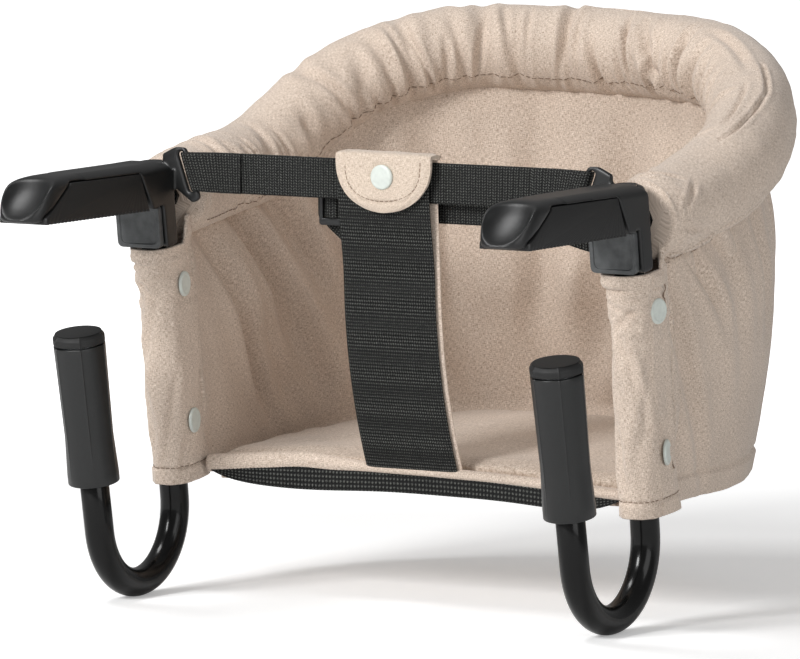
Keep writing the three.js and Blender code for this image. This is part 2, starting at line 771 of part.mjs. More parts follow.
// Padded cover of the hoop, drawn in where the cloth is gathered, narrowing to a cuff at each end
function bolster() {
  const taperShares = [0, 0.3, 0.65];
  const taper = taperShares.map((share) => bolsterStart + share * bolsterTaper);
  const stations = [
    ...taper, ...stationsAlong(bolsterStart + bolsterTaper, bolsterStations),
    ...taper.map((along) => hoopLength - along).reverse(),
  ];
  const rings = (radiusAt) => stations.map((along) => {
    const { point, out } = hoopAt(along);
    return circleRing(point, out, upAxis, radiusAt(along), bolsterSides);
  });
  const padding = (along) => {
    const run = Math.min(along, hoopLength - along) - bolsterStart;
    const pinch = gatherDepth * Math.abs(Math.sin((Math.PI * run) / gatherPitch));
    return mix(bolsterEndRadius, bolsterRadius - gatherDepth + pinch, smooth(run / bolsterTaper));
  };
  return skinned(rings(padding), rings(() => bolsterBore));
}

// Cloth walls that follow the hoop. Each row of a section is [share of the height, outset]. The front
// edges lean like the uprights, a small gap behind the cloth sleeves.
function wallStart(height) {
  const rear = axisSetback - height * Math.tan(leanAngle) + sleeveReach / Math.cos(leanAngle);
  return (rear + 2 * clearance - axisSetback) / Math.cos(sideAngle);
}

function wall(count, topOf, footOf, rowsOf) {
  return skinned(Array.from({ length: count }, (_, i) => {
    const share = i / (count - 1);
    const rough = hoopAt(mix(wallStart(0), hoopLength - wallStart(0), share));
    return rowsOf(rough).map(([heightShare, outset, lift]) => {
      const height = mix(topOf(rough), footOf(rough), heightShare) + lift;
      const start = wallStart(height);
      const at = hoopAt(mix(start, hoopLength - start, share));
      return at.point.clone().setZ(height).addScaledVector(at.out, outset);
    });
  }));
}

function outerCover() {
  const half = coverThickness / 2;
  const hemHalf = hemThickness / 2;
  const middle = mix(coverTopOutset, coverFootOutset, 0.5) + coverBulge;
  return wall(33,
    ({ point }) => point.z - coverTopDrop,
    ({ rearShare }) => -mix(hemFrontDrop, hemRearDrop, rearShare),
    () => [
      [0, coverTopOutset + half, 0], [0.5, middle + half, 0],
      [1, coverFootOutset + half, hemHeight + clearance], [1, coverFootOutset + hemHalf, hemHeight],
      [1, coverFootOutset + hemHalf, 0], [1, coverFootOutset - hemHalf, 0],
      [1, coverFootOutset - hemHalf, hemHeight], [1, coverFootOutset - half, hemHeight + clearance],
      [0.5, middle - half, 0], [0, coverTopOutset - half, 0],
    ]);
}

function innerLining() {
  const half = liningThickness / 2;
  return wall(29,
    ({ point, rearShare }) => point.z - mix(liningSideDrop, liningRearDrop, rearShare) - clearance,
    ({ rearShare }) => -liningFootDrop + liningFootRise * rearShare,
    ({ rearShare }) => {
      const topOutset = liningTopOutset - 2 * rearShare;
      const middle = mix(topOutset, liningFootOutset, 0.5);
      return [
        [0, topOutset + half / 2, 0], [0.5, middle + half, 0], [1, liningFootOutset + half / 2, 0],
        [1, liningFootOutset - half / 2, 0], [0.5, middle - half, 0], [0, topOutset - half / 2, 0],
      ];
    });
}

// Seat outline seen from above: a straight front edge and a round back. Seat frame: y = 0 at the front.
const seatArcSetback = hoopCentreSetback - seatFront;
function seatOutline(inset, count = 48) {
  const radius = hoopRadius - seatInset - inset;
  const frontInset = Math.max(inset, 0);
  const sideCount = count / 6;
  const points = [];
  for (let i = 0; i < sideCount; i += 1) {
    points.push([radius, mix(frontInset, seatArcSetback, i / sideCount)]);
  }
  const arcCount = count / 2;
  for (let i = 0; i <= arcCount; i += 1) {
    const angle = (Math.PI * i) / arcCount;
    points.push([radius * Math.cos(angle), seatArcSetback + radius * Math.sin(angle)]);
  }
  for (let i = 1; i < sideCount; i += 1) {
    points.push([-radius, mix(seatArcSetback, frontInset, i / sideCount)]);
  }
  for (let i = 0; i < sideCount; i += 1) {
    points.push([mix(-radius, radius, i / sideCount), frontInset]);
  }
  return points;
}

const seatPlate = (inset, low, high) => alongZ(polygon(seatOutline(inset, 36)), low, high);

function seatCushion() {
  const low = clearance;
  const insetShares = [1, 0, 1, 6, 18, 34];
  const levels = [
    low, low + 0.4 * cushionThickness, low + 0.8 * cushionThickness, low + cushionThickness,
    low + cushionThickness + 0.6 * cushionCrown, low + cushionThickness + cushionCrown];
  const rings = insetShares.map((share, i) => seatOutline(share * cushionDrawIn).map(([x, y]) => {
    const corner = Math.abs(x) / (hoopRadius - seatInset) * Math.max(0, 1 - y / seatArcSetback);
    const drawn = i < 3 ? 1 - 0.5 * corner : 1;
    return new THREE.Vector3(x, y + (1 - drawn) * cushionDrawIn, levels[i]);
  }));
  return skinned(rings);
}

function frontBand() {
  const count = 13;
  const rings = Array.from({ length: count }, (_, i) => {
    const share = mix(-1, 1, i / (count - 1));
    const x = share * frontBandHalfLength;
    const drop = frontBandHeight * (1 - 0.5 * Math.abs(share) ** 5);
    return [[0, 0], [frontBandThickness, 0], [frontBandThickness, -drop], [0, -drop]]
      .map(([y, z]) => new THREE.Vector3(x, y, z));
  });
  return skinned(rings);
}

// Cloth sleeve round an upright. Its collar ends under the bracket's screw. Upright frame.
const collarTop = fixingHeight - fixingHeadRadius - 2 * runningGap;
function legSleeve() {
  const sides = 20;
  const section = (height, radius, reach, wave) => Array.from({ length: sides }, (_, i) => {
    const angle = (TURN * i) / sides;
    const s = Math.sin(angle);
    const c = Math.cos(angle);
    const rear = s > 0;
    return new THREE.Vector3(
      (rear ? Math.sign(c) * Math.abs(c) ** 1.5 * radius : c * radius) + wave,
      rear ? s * reach : s * radius, height);
  });
  const levelShares = [0, 0.12, 0.3, 0.5, 0.7, 0.88];
  const waveShares = [0, 0.3, -0.2, 0.3, 0, 0];
  const foot = -sleeveFoot;
  const flareFoot = -sleeveTop - sleeveFlareHeight;
  const outer = levelShares.map((share, i) =>
    section(mix(foot, flareFoot, share), sleeveRadius, sleeveReach, waveShares[i]));
  outer.push(section(flareFoot + clearance, sleeveFlare, sleeveReach, 0));
  outer.push(section(-sleeveTop, sleeveFlare, sleeveReach, 0));
  const collar = new THREE.Shape();
  const from = collarStart;
  const to = collarEnd;
  const inside = knuckleRadius + runningGap;
  collar.absarc(0, 0, inside + collarThickness, from, to, false);
  collar.absarc(0, 0, inside, to, from, true);
  collar.closePath();
  const collarSolid = alongZ(collar, flareFoot + clearance, collarTop, 8);
  const bore = rod(tubeRadius + clearance, foot - overrun, overrun, 14);
  const knuckleRoom = rod(inside, -sleeveTop, overrun, 16);
  const doorway = block(-eyeArmWidth, eyeArmWidth, 0, 2 * sleeveReach,
    eyeLow - runningGap, collarTop + overrun);
  const studs = studDrops.flatMap((drop) => {
    const across = (radius, low, high) => rod(radius, low, high, 12)
      .rotateY(Math.PI / 2).translate(0, studSetback, -drop);
    return [
      across(studPostRadius + clearance, -sleeveFlare, sleeveFlare),
      across(studCapRadius + clearance, studSeat, sleeveFlare + overrun),
      across(studCapRadius + clearance, -sleeveFlare - overrun, -studSeat),
    ];
  });
  return cut(join(skinned(outer), collarSolid), bore, knuckleRoom, doorway, ...studs);
}

// A press stud through two layers of cloth, with a cap on both faces. It lies along X.
function pressStud() {
  const seat = studSeat + clearance;
  const top = seat + studCapHeight;
  const edge = 0.4 * studCapHeight;
  return turned([
    [0, -top], [0.7 * studCapRadius, -top], [studCapRadius, -top + edge], [studCapRadius, -seat],
    [studPostRadius, -seat], [studPostRadius, seat],
    [studCapRadius, seat], [studCapRadius, top - edge], [0.7 * studCapRadius, top], [0, top],
  ], 16).rotateY(Math.PI / 2);
}

// Webbing laid along points in a plane, as a flat band of a given width
function band(points, width, thickness) {
  const rings = points.map((point, i) => {
    const before = points[Math.max(i - 1, 0)];
    const after = points[Math.min(i + 1, points.length - 1)];
    const along = after.centre.clone().sub(before.centre).normalize();
    const across = point.across.clone();
    const normal = new THREE.Vector3().crossVectors(along, across).normalize();
    return [[-1, -1], [1, -1], [1, 1], [-1, 1]].map(([a, b]) => point.centre.clone()
      .addScaledVector(across, (a * width) / 2)
      .addScaledVector(normal, (b * thickness) / 2));
  });
  return skinned(rings);
}

// Waist strap: from the middle, through the arm's slot, round the tab's bar and back on itself
const barReach = (tabReach + tabTopReach) / 2 - slotMargin / 2;
function waistStrap() {
  const layer = webbingThickness + clearance;
  const end = halfSpan - barReach;
  const front = tabSetback - runningGap - webbingThickness / 2;
  const rear = tabSetback + tabThickness + runningGap + webbingThickness / 2;
  const slot = end + slotMargin / 2 + slotWidth / 2;
  const along = [
    [strapJoinGap, waistSetback - layer / 2, 0], [0.72 * end, waistSetback - layer / 2, 0],
    [end - slotMargin, front, 1], [slot - slotWidth / 4, front, 1],
    [slot, waistSetback, 1], [slot - slotWidth / 4, rear, 1],
    [end - slotMargin, rear, 1], [0.72 * end, waistSetback + layer / 2, 0],
    [0.45 * end, waistSetback + layer / 2, 0],
  ];
  return band(along.map(([x, y, turnShare]) => ({
    centre: new THREE.Vector3(x, y, waistHeight),
    across: new THREE.Vector3(Math.sin(slotTilt * turnShare), 0, Math.cos(slotTilt * turnShare)),
  })), waistWidth, webbingThickness);
}

const crotchFront = waistSetback - webbingThickness - 3 * clearance - crotchThickness / 2;
const crotchRear = waistSetback + webbingThickness + 3 * clearance + liningStripThickness / 2;
const liningOffset = (crotchThickness + liningStripThickness) / 2 + clearance;
const strapBow = mix(waistSetback, crotchFootSetback, crotchBowShare);
const strapFootShare = (waistHeight - waistWidth / 2 - beltHeight + buckleWidth / 2)
  / (waistHeight - waistWidth / 2 - crotchBowHeight);
const beltSetback = mix(crotchRear, strapBow + liningOffset, strapFootShare)
  + liningStripThickness / 2 + 2 * clearance + buckleThickness / 2;
const sideways = new THREE.Vector3(1, 0, 0);

function crotchRun(top, topSetback, offset) {
  const joined = strapBow + offset;
  const shares = [0.35, 0.6, 0.85, 1];
  const points = [[topSetback, top], [topSetback, waistHeight - waistWidth / 2], [joined, crotchBowHeight]];
  shares.forEach((share) => points.push([
    mix(joined, crotchFootSetback + offset, share ** 1.15), mix(crotchBowHeight, -crotchFoot, share)]));
  return points.map(([y, z]) => ({ centre: new THREE.Vector3(0, y, z), across: sideways }));
}

const crotchStrap = () => band(crotchRun(crotchTop, crotchFront, 0), crotchWidth, crotchThickness);
const crotchLining = () => band(
  crotchRun(crotchTop + clearance, crotchRear, liningOffset),
  crotchWidth - overrun, liningStripThickness);

// Flap: hinged on the top edge of the lining strip, over the waist strap, down in front
const flapBack = crotchFront - crotchThickness / 2 - studCapHeight;
function flap() {
  const half = flapWidth / 2;
  const top = crotchTop + 2 * clearance + flapThickness;
  const shape = new THREE.Shape();
  shape.moveTo(-half, top);
  shape.lineTo(-half, top - 0.15 * flapHeight);
  shape.bezierCurveTo(-0.98 * half, top - 0.62 * flapHeight, -0.55 * half, top - flapHeight,
    0, top - flapHeight);
  shape.bezierCurveTo(0.55 * half, top - flapHeight, 0.98 * half, top - 0.62 * flapHeight,
    half, top - 0.15 * flapHeight);
  shape.lineTo(half, top);
  shape.closePath();
  const leaf = alongY(shape, flapBack - flapThickness, flapBack, 10);
  const roof = block(-half, half, flapBack - overrun / 2, crotchRear + liningStripThickness / 2,
    top - flapThickness, top);
  const studHole = rod(studPostRadius + clearance, flapBack - 2 * flapThickness, flapBack + overrun, 16)
    .rotateX(-Math.PI / 2).translate(0, 0, flapStudHeight);
  return cut(join(leaf, roof), studHole);
}

function flapCap() {
  const front = -(flapBack - flapThickness - clearance);
  const rear = -(flapBack + clearance);
  return turned([
    [0, rear - studCapHeight / 2], [studCapRadius / 2, rear - studCapHeight / 2],
    [studCapRadius / 2, rear], [studPostRadius, rear], [studPostRadius, front], [studCapRadius, front],
    [studCapRadius, front + 0.4 * studCapHeight], [0.7 * studCapRadius, front + studCapHeight],
    [0, front + studCapHeight],
  ], 16).rotateX(Math.PI / 2).translate(0, 0, flapStudHeight);
}

// Harness belt behind the crotch strap, with a side-release buckle and a sliding adjuster
const beltPoint = (x, y, z) => ({ centre: new THREE.Vector3(x, y, z), across: new THREE.Vector3(0, 0, 1) });

function beltRun(from, to, endSetback, endHeight) {
  const level = 0.4;
  const shares = [level, 0.6, 0.8, 1];
  return [beltPoint(from, beltSetback, beltHeight), ...shares.map((share) => beltPoint(
    mix(from, to, share), mix(beltSetback, endSetback, smooth((share - level) / (1 - level))),
    mix(beltHeight, endHeight, smooth((share - level) / (1 - level)))))];
}

function buckleHousing() {
  const half = buckleWidth / 2;
  const end = bucklePlace + buckleLength;
  const cornerShares = [0.3, 0.3, 0.2, 0.2, 0.3, 0.3];
  const outline = roundedPolygon([
    [bucklePlace, -0.75 * half], [bucklePlace + 0.25 * buckleLength, -half], [end, -0.8 * half],
    [end, 0.8 * half], [bucklePlace + 0.25 * buckleLength, half], [bucklePlace, 0.75 * half],
  ], cornerShares.map((share) => share * buckleThickness));
  const body = alongY(outline, -buckleThickness / 2, buckleThickness / 2, 3);
  const mouth = block(end - clipEntry - clearance, end + overrun, -0.3 * buckleThickness - clearance,
    0.3 * buckleThickness + clearance, -0.68 * half - clearance, 0.68 * half + clearance);
  const webSlot = block(bucklePlace + 0.1 * buckleLength, bucklePlace + 0.22 * buckleLength,
    -buckleThickness, buckleThickness, -beltWidth / 2 - clearance, beltWidth / 2 + clearance);
  const windows = [-1, 1].map((side) => block(end - 0.32 * buckleLength, end - 0.14 * buckleLength,
    -0.3 * buckleThickness, 0.3 * buckleThickness,
    side > 0 ? 0.5 * half : -half - overrun, side > 0 ? half + overrun : -0.5 * half));
  return cut(body, mouth, webSlot, ...windows);
}

function buckleClip() {
  const half = buckleWidth / 2;
  const seat = bucklePlace + buckleLength + clearance;
  const head = block(seat, seat + clipLength - clipEntry, -0.4 * buckleThickness, 0.4 * buckleThickness,
    -0.75 * half, 0.75 * half);
  const prongs = [-0.58, 0, 0.58].map((place) => block(
    seat - clipEntry + clearance, seat + 2 * clearance, -0.3 * buckleThickness, 0.3 * buckleThickness,
    (place - 0.1) * half, (place + 0.1) * half));
  const webSlot = block(seat + 0.15 * clipLength, seat + 0.27 * clipLength, -buckleThickness,
    buckleThickness, -0.62 * half, 0.62 * half);
  return cut(join(head, ...prongs), webSlot);
}

function adjuster() {
  const half = adjusterLength / 2;
  const tall = buckleWidth / 2;
  const frame = alongY(roundedPolygon(
    [[-half, -tall], [half, -tall], [half, tall], [-half, tall]], Array(4).fill(adjusterThickness)),
  -adjusterThickness / 2, adjusterThickness / 2, 3);
  const slots = [-1, 1].map((side) => block(
    side > 0 ? 0.15 * half : -0.75 * half, side > 0 ? 0.75 * half : -0.15 * half,
    -adjusterThickness, adjusterThickness, -beltWidth / 2 - clearance, beltWidth / 2 + clearance));
  return cut(frame, ...slots);
}

// Assembly
const chair = new THREE.Group();
const piece = (parent, name, geometry, material) => {
  const mesh = new THREE.Mesh(geometry, material);
  mesh.name = name;
  parent.add(mesh);
  return mesh;
};

const armGeometry = armShell();
const gripGeometry = armGrip();
const eyeGeometry = hoopEye();
const strapGeometry = waistStrap();
const hookPieces = [
  ['upright_tube', hookTube(), powderCoat], ['edge_pad', edgePad(), padRubber],
  ['bracket_screw', bracketScrew(), zincSteel], ['leg_sleeve', legSleeve(), beigeCloth],
  ['eye_washer', eyeWasher(), studPlastic],
];
const jackPieces = [
  ['jack_nut', jackNut(), zincSteel], ['jack_sleeve', jackSleeve(), satinPlastic],
  ['jack_screw', jackScrew(), zincSteel], ['jack_swivel', jackSwivel(), zincSteel],
  ['jack_cap', jackCap(), gripRubber],
];

for (const [side, word] of [[1, 'right'], [-1, 'left']]) {
  const handed = (geometry) => (side > 0 ? geometry : mirrored(geometry));
  piece(chair, `${word}_arm_shell`, handed(armGeometry), nylon);
  piece(chair, `${word}_arm_grip`, handed(gripGeometry), gripRubber);
  piece(chair, `${word}_hoop_eye`, handed(eyeGeometry), zincSteel);
  piece(chair, `${word}_waist_strap`, handed(strapGeometry), blackWebbing);

  const upright = new THREE.Group();
  upright.position.set(side * halfSpan, axisSetback, 0);
  upright.rotation.x = leanAngle;
  chair.add(upright);
  hookPieces.forEach(([name, geometry, material]) =>
    piece(upright, `${word}_${name}`, handed(geometry), material));
  studDrops.forEach((drop, i) => {
    const stud = piece(upright, `${word}_${i === 0 ? 'upper' : 'lower'}_stud`, pressStud(), studPlastic);
    stud.position.set(0, studSetback, -drop);
  });

  const frontLeg = new THREE.Group();
  frontLeg.position.copy(bendPoint(endAngle));
  frontLeg.rotation.x = spreadAngle;
  upright.add(frontLeg);
  jackPieces.forEach(([name, geometry, material]) =>
    piece(frontLeg, `${word}_${name}`, handed(geometry), material));
}

piece(chair, 'hoop_tube', hoopTube(), powderCoat);
piece(chair, 'hoop_bolster', bolster(), beigeCloth);
piece(chair, 'outer_cover', outerCover(), beigeCloth);
piece(chair, 'inner_lining', innerLining(), beigeCloth);

const seat = new THREE.Group();
seat.position.set(0, seatFront, -seatDrop);
seat.rotation.x = seatTilt;
chair.add(seat);
piece(seat, 'seat_cushion', seatCushion(), beigeCloth);
piece(seat, 'seat_board', seatPlate(boardInset, -boardThickness, 0), boardPlastic);
piece(seat, 'seat_sling', seatPlate(
  seatInset - slingOutset, -boardThickness - clearance - slingThickness, -boardThickness - clearance),
beigeCloth);
const frontStrip = piece(seat, 'seat_front_band', frontBand(), blackWebbing);
frontStrip.position.set(0, -frontBandThickness - clearance, cushionThickness / 2);

piece(chair, 'crotch_strap', crotchStrap(), blackWebbing);
piece(chair, 'crotch_lining', crotchLining(), beigeCloth);
piece(chair, 'strap_flap', flap(), paleCloth);
piece(chair, 'flap_stud_cap', flapCap(), studPlastic);

const beltLeft = bucklePlace - clearance;
const adjusterPlace = bucklePlace - adjusterLength;
const clipEnd = bucklePlace + buckleLength + clearance + clipLength - clipEntry + clearance;
const beltEndPlace = halfSpan + liningTopOutset - 3 * clearance;
const beltEndSetback = axisSetback + wallStart(beltEndHeight) + liningThickness;
const wovenShares = [0.72, 0.26, -0.26, -0.72];
const woven = wovenShares.map((share, i) => beltPoint(
  adjusterPlace + (share * adjusterLength) / 2,
  beltSetback + (i % 3 === 0 ? 1 : -1) * weave, beltHeight));

// The belt's short end turns back round the adjuster, passes behind the buckle and is sewn to the
// lining strip of the crotch strap.
const turnPlace = adjusterPlace - adjusterLength / 2 - 2 * webbingThickness;
const backSetback = beltSetback + buckleThickness / 2 + 2 * clearance + webbingThickness;
const [split, lower] = crotchRun(crotchTop + clearance, crotchRear, liningOffset)
  .slice(2, 4).map(({ centre }) => centre);
const stripLean = (lower.y - split.y) / (split.z - lower.z);
function turnedBack(share) {
  const length = share * beltTurnLength;
  const height = beltHeight - length * Math.sin(beltTurnAngle);
  const sewn = split.y + (split.z - height) * stripLean
    + (liningStripThickness + webbingThickness) / 2 + clearance * 1.5;
  const lean = smooth((share - 0.72) / 0.28);
  return {
    centre: new THREE.Vector3(
      turnPlace + length * Math.cos(beltTurnAngle), mix(backSetback, sewn, lean), height),
    across: new THREE.Vector3(
      Math.sin(beltTurnAngle), -lean * stripLean * Math.cos(beltTurnAngle), Math.cos(beltTurnAngle))
      .normalize(),
  };
}
const turnedBackShares = [0.2, 0.46, 0.72, 0.86, 1];
piece(chair, 'harness_belt_right', band(
  beltRun(clipEnd, beltEndPlace, beltEndSetback, beltEndHeight), beltWidth, webbingThickness), blackWebbing);
piece(chair, 'harness_belt_left', band([
  beltPoint(beltLeft, beltSetback, beltHeight), ...woven,
  beltPoint(turnPlace, beltSetback + weave, beltHeight), beltPoint(turnPlace, backSetback, beltHeight),
  ...turnedBackShares.map(turnedBack),
], beltWidth, webbingThickness), blackWebbing);
const harness = new THREE.Group();
harness.position.set(0, beltSetback, beltHeight);
chair.add(harness);
piece(harness, 'buckle_housing', buckleHousing(), nylon);
piece(harness, 'buckle_clip', buckleClip(), nylon);
piece(harness, 'belt_adjuster', adjuster(), nylon)
  .position.set(adjusterPlace, 0, 0);

export default chair;
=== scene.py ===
import json
import math

import bmesh
import bpy
import numpy as np
from mathutils import Matrix, Vector


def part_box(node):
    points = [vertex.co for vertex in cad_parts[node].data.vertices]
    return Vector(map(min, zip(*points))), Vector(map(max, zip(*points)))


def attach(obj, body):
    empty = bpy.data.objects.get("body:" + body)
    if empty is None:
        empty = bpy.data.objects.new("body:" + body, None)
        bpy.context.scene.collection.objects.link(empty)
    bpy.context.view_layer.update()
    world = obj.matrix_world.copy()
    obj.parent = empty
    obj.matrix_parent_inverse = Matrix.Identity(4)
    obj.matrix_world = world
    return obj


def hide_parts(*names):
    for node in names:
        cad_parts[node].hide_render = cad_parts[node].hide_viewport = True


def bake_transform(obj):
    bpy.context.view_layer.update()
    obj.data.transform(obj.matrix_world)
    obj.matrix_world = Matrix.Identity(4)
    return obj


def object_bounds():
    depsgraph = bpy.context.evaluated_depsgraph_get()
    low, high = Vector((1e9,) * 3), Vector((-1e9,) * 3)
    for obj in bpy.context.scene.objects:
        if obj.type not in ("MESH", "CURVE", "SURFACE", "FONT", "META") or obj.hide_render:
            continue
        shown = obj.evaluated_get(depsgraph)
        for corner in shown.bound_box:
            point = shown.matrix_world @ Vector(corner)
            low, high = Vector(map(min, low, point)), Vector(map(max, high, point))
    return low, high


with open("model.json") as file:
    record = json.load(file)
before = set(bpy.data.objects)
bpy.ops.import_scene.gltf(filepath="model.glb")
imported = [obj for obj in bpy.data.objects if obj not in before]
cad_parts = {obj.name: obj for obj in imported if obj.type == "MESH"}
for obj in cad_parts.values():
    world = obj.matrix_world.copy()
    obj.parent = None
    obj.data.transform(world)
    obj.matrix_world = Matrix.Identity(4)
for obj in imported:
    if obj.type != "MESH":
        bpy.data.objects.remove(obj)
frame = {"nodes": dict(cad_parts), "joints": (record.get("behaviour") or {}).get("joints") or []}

MM = 0.001
cad_box = [list(corner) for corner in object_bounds()]
scene = bpy.context.scene

# The viewpoint: a long lens far away, a little above the seat and to its right, as in the picture
camera_azimuth = math.radians(31)
camera_elevation = math.radians(5)
camera_distance = 4800
camera_aim = (0, 6, 0)
camera_lens = 355.5
camera_shift = (0.0298, -0.1369)
back = Vector((
    math.sin(camera_azimuth) * math.cos(camera_elevation),
    -math.cos(camera_azimuth) * math.cos(camera_elevation),
    math.sin(camera_elevation)))
camera_data = bpy.data.cameras.new("camera")
camera_data.lens = camera_lens
camera_data.sensor_width = 36
camera_data.shift_x, camera_data.shift_y = camera_shift
camera_data.clip_end = 20
camera = bpy.data.objects.new("camera", camera_data)
scene.collection.objects.link(camera)
camera.location = (Vector(camera_aim) + camera_distance * back) * MM
camera.rotation_euler = back.to_track_quat("Z", "Y").to_euler()
scene.camera = camera


# Hook tubes: 18 mm steel, bent cold in a U below the table's edge, then powder coated gloss black. The
# upright is fixed in the arm's bracket and the front leg takes the screw jack.
SIDES = [(1, "right"), (-1, "left")]
pivot = next(j for j in frame["joints"] if j["name"] == "right_arm_fold")["pos_m"]
half_span = pivot[0] / MM
axis_setback = pivot[1] / MM
lean_angle = math.radians(7.5)
spread_angle = math.radians(3)
tube_radius = 9
tube_wall = 1.5
upright_top = 28
bend_drop = 184.4
bend_radius = 43.5
front_leg_length = 84
bend_angle = math.pi - spread_angle
SEAT, CLOTH, WEBBING = "seat_frame", "beige_melange_cloth", "black_webbing"


def linear(hex_colour):
    """An sRGB hex colour as the linear one that a shader reads."""
    channels = [int(hex_colour[i:i + 2], 16) / 255 for i in (1, 3, 5)]
    return [c / 12.92 if c <= 0.04045 else ((c + 0.055) / 1.055) ** 2.4 for c in channels] + [1]


def add(tree, kind, sockets=None, **settings):
    """A shader node with its settings, its sockets linked to an output or set to a value."""
    node = tree.nodes.new("ShaderNode" + kind)
    for name, value in settings.items():
        setattr(node, name, value)
    for name, value in (sockets or {}).items():
        if isinstance(value, bpy.types.NodeSocket):
            tree.links.new(value, node.inputs[name])
        else:
            node.inputs[name].default_value = value
    return node


def new_material(name, **surface):
    """A material with one principled surface, and its node tree."""
    material = bpy.data.materials.new(name)
    material.use_nodes = True
    tree = material.node_tree
    shader = tree.nodes["Principled BSDF"]
    for socket, value in surface.items():
        shader.inputs[socket.replace("_", " ")].default_value = value
    return material, tree, shader


def bumps(tree, shader, height, strength, depth):
    """Small relief from a height between 0 and 1, with its depth in millimetres."""
    bump = add(tree, "Bump", {"Height": height, "Strength": strength, "Distance": depth * MM})
    tree.links.new(bump.outputs[0], shader.inputs["Normal"])


def shades(tree, shader, factor, low, high, start=0.3, end=0.7):
    """Colour that drifts between two hex colours with a factor."""
    ramp = add(tree, "ValToRGB", {"Fac": factor})
    for element, place, colour in zip(ramp.color_ramp.elements, (start, end), (low, high)):
        element.position, element.color = place, linear(colour)
    tree.links.new(ramp.outputs[0], shader.inputs["Base Color"])
    return ramp


def grained(name, low, high, pitch, depth, strength, detail=3.0, **surface):
    """A cast or moulded material, whose colour and bumps follow one grain, in millimetres."""
    material, tree, shader = new_material(name, **surface)
    grain = add(tree, "TexNoise", {
        "Vector": add(tree, "TexCoord").outputs["Object"], "Scale": 1 / (pitch * MM), "Detail": detail})
    bumps(tree, shader, grain.outputs[0], strength, depth)
    shades(tree, shader, grain.outputs[0], low, high)
    return material


def made(name, bm, material, sharp=38, closed=True):
    """A finished object from a bmesh, smooth but for edges sharper than an angle."""
    bmesh.ops.remove_doubles(bm, verts=bm.verts, dist=0.004 * MM)
    if closed:
        bmesh.ops.recalc_face_normals(bm, faces=bm.faces)
    mesh = bpy.data.meshes.new(name)
    bm.to_mesh(mesh)
    bm.free()
    mesh.materials.append(material)
    mesh.shade_smooth()
    mesh.set_sharp_from_angle(angle=math.radians(sharp))
    obj = bpy.data.objects.new(name, mesh)
    scene.collection.objects.link(obj)
    return obj


def stands_for(obj, body, slot, *nodes):
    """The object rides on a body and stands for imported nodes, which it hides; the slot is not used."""
    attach(obj, body)
    if nodes:
        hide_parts(*nodes)


def modify(obj, kind, **settings):
    """Gives an object a modifier with its settings."""
    modifier = obj.modifiers.new(kind.lower(), kind)
    for name, value in settings.items():
        setattr(modifier, name, value)


def thicken(obj, thickness, offset=-1):
    """Gives a skin its thickness in millimetres."""
    modify(obj, "SOLIDIFY", thickness=thickness * MM, offset=offset)


def extruded(bm, edges, vector):
    """Draws edges out by a vector in metres, and gives the new ones."""
    grown = bmesh.ops.extrude_edge_only(bm, edges=edges)["geom"]
    bmesh.ops.translate(bm, verts=[g for g in grown if isinstance(g, bmesh.types.BMVert)], vec=vector)
    return edges_of(grown)


def edges_of(geometry):
    """The edges in a list of mixed geometry."""
    return [g for g in geometry if isinstance(g, bmesh.types.BMEdge)]


def upright_frame(side):
    """From an upright tube's own frame to the object's, in metres."""
    return (Matrix.Translation((side * half_span * MM, axis_setback * MM, 0))
            @ Matrix.Rotation(lean_angle, 4, "X"))


# Gloss powder coat: black, with the faint orange peel of a baked powder
powder_coat = grained(
    "powder_coat_gloss_black", "#050505", "#090909", pitch=1.4, depth=0.03, strength=0.25, detail=1.0,
    Roughness=0.24, IOR=1.45, Specular_IOR_Level=0.22, Coat_Weight=0.2, Coat_Roughness=0.08)

for side, word in SIDES:
    bm = bmesh.new()
    bmesh.ops.create_circle(bm, radius=tube_radius * MM, segments=56)
    bmesh.ops.translate(bm, verts=bm.verts, vec=(0, 0, upright_top * MM))
    grown = extruded(bm, bm.edges[:], (0, 0, -(upright_top + bend_drop) * MM))
    spun = bmesh.ops.spin(
        bm, geom=[edge for edge in grown if all(v.co.z < 0 for v in edge.verts)],
        cent=(0, -bend_radius * MM, -bend_drop * MM), axis=(1, 0, 0), angle=-bend_angle, steps=56)
    leg_up = Vector((0, math.sin(-bend_angle), -math.cos(-bend_angle)))
    extruded(bm, edges_of(spun["geom_last"]), leg_up * front_leg_length * MM)
    caps = bmesh.ops.holes_fill(bm, edges=bm.edges, sides=0)["faces"]
    bmesh.ops.recalc_face_normals(bm, faces=bm.faces)
    bmesh.ops.delete(bm, geom=caps, context="FACES_ONLY")
    bm.transform(upright_frame(side))
    tube = made(f"{word}_hook_tube", bm, powder_coat, closed=False)
    thicken(tube, tube_wall)
    stands_for(tube, f"{word}_arm", "powder_coated_steel", f"{word}_upright_tube")


# Screw jacks: a fluted nylon hand grip that turns on the leg and drives a zinc-plated rod, with a
# rubber cap on a swivel disc that stands still against the table.
jack_offset = 32.4
jack_length = 95.6
jack_top_radius = 17.5
jack_foot_radius = 15.9
jack_cap_height = 7
jack_bore = 9.5
jack_segments = 288
flute_count = 6
flute_depth = 1.5
flute_start = 1.3
jack_edge = 0.6
cap_edge = 2.4
cap_gap = 0.5
lip_height = 5
lip_wall = 3


def fluted(bm, fade_of):
    """Sinks shallow flutes in a turned grip, with a thin rib between each pair."""
    for vertex in bm.verts:
        radius = math.hypot(vertex.co.x, vertex.co.y) / MM
        if radius > jack_foot_radius - 1.5:
            turn = math.atan2(vertex.co.y, vertex.co.x)
            share = abs(math.cos(flute_count / 2 * turn + flute_start)) ** 0.25
            vertex.co.xy *= 1 - flute_depth * fade_of(vertex.co.z / MM) * share / radius


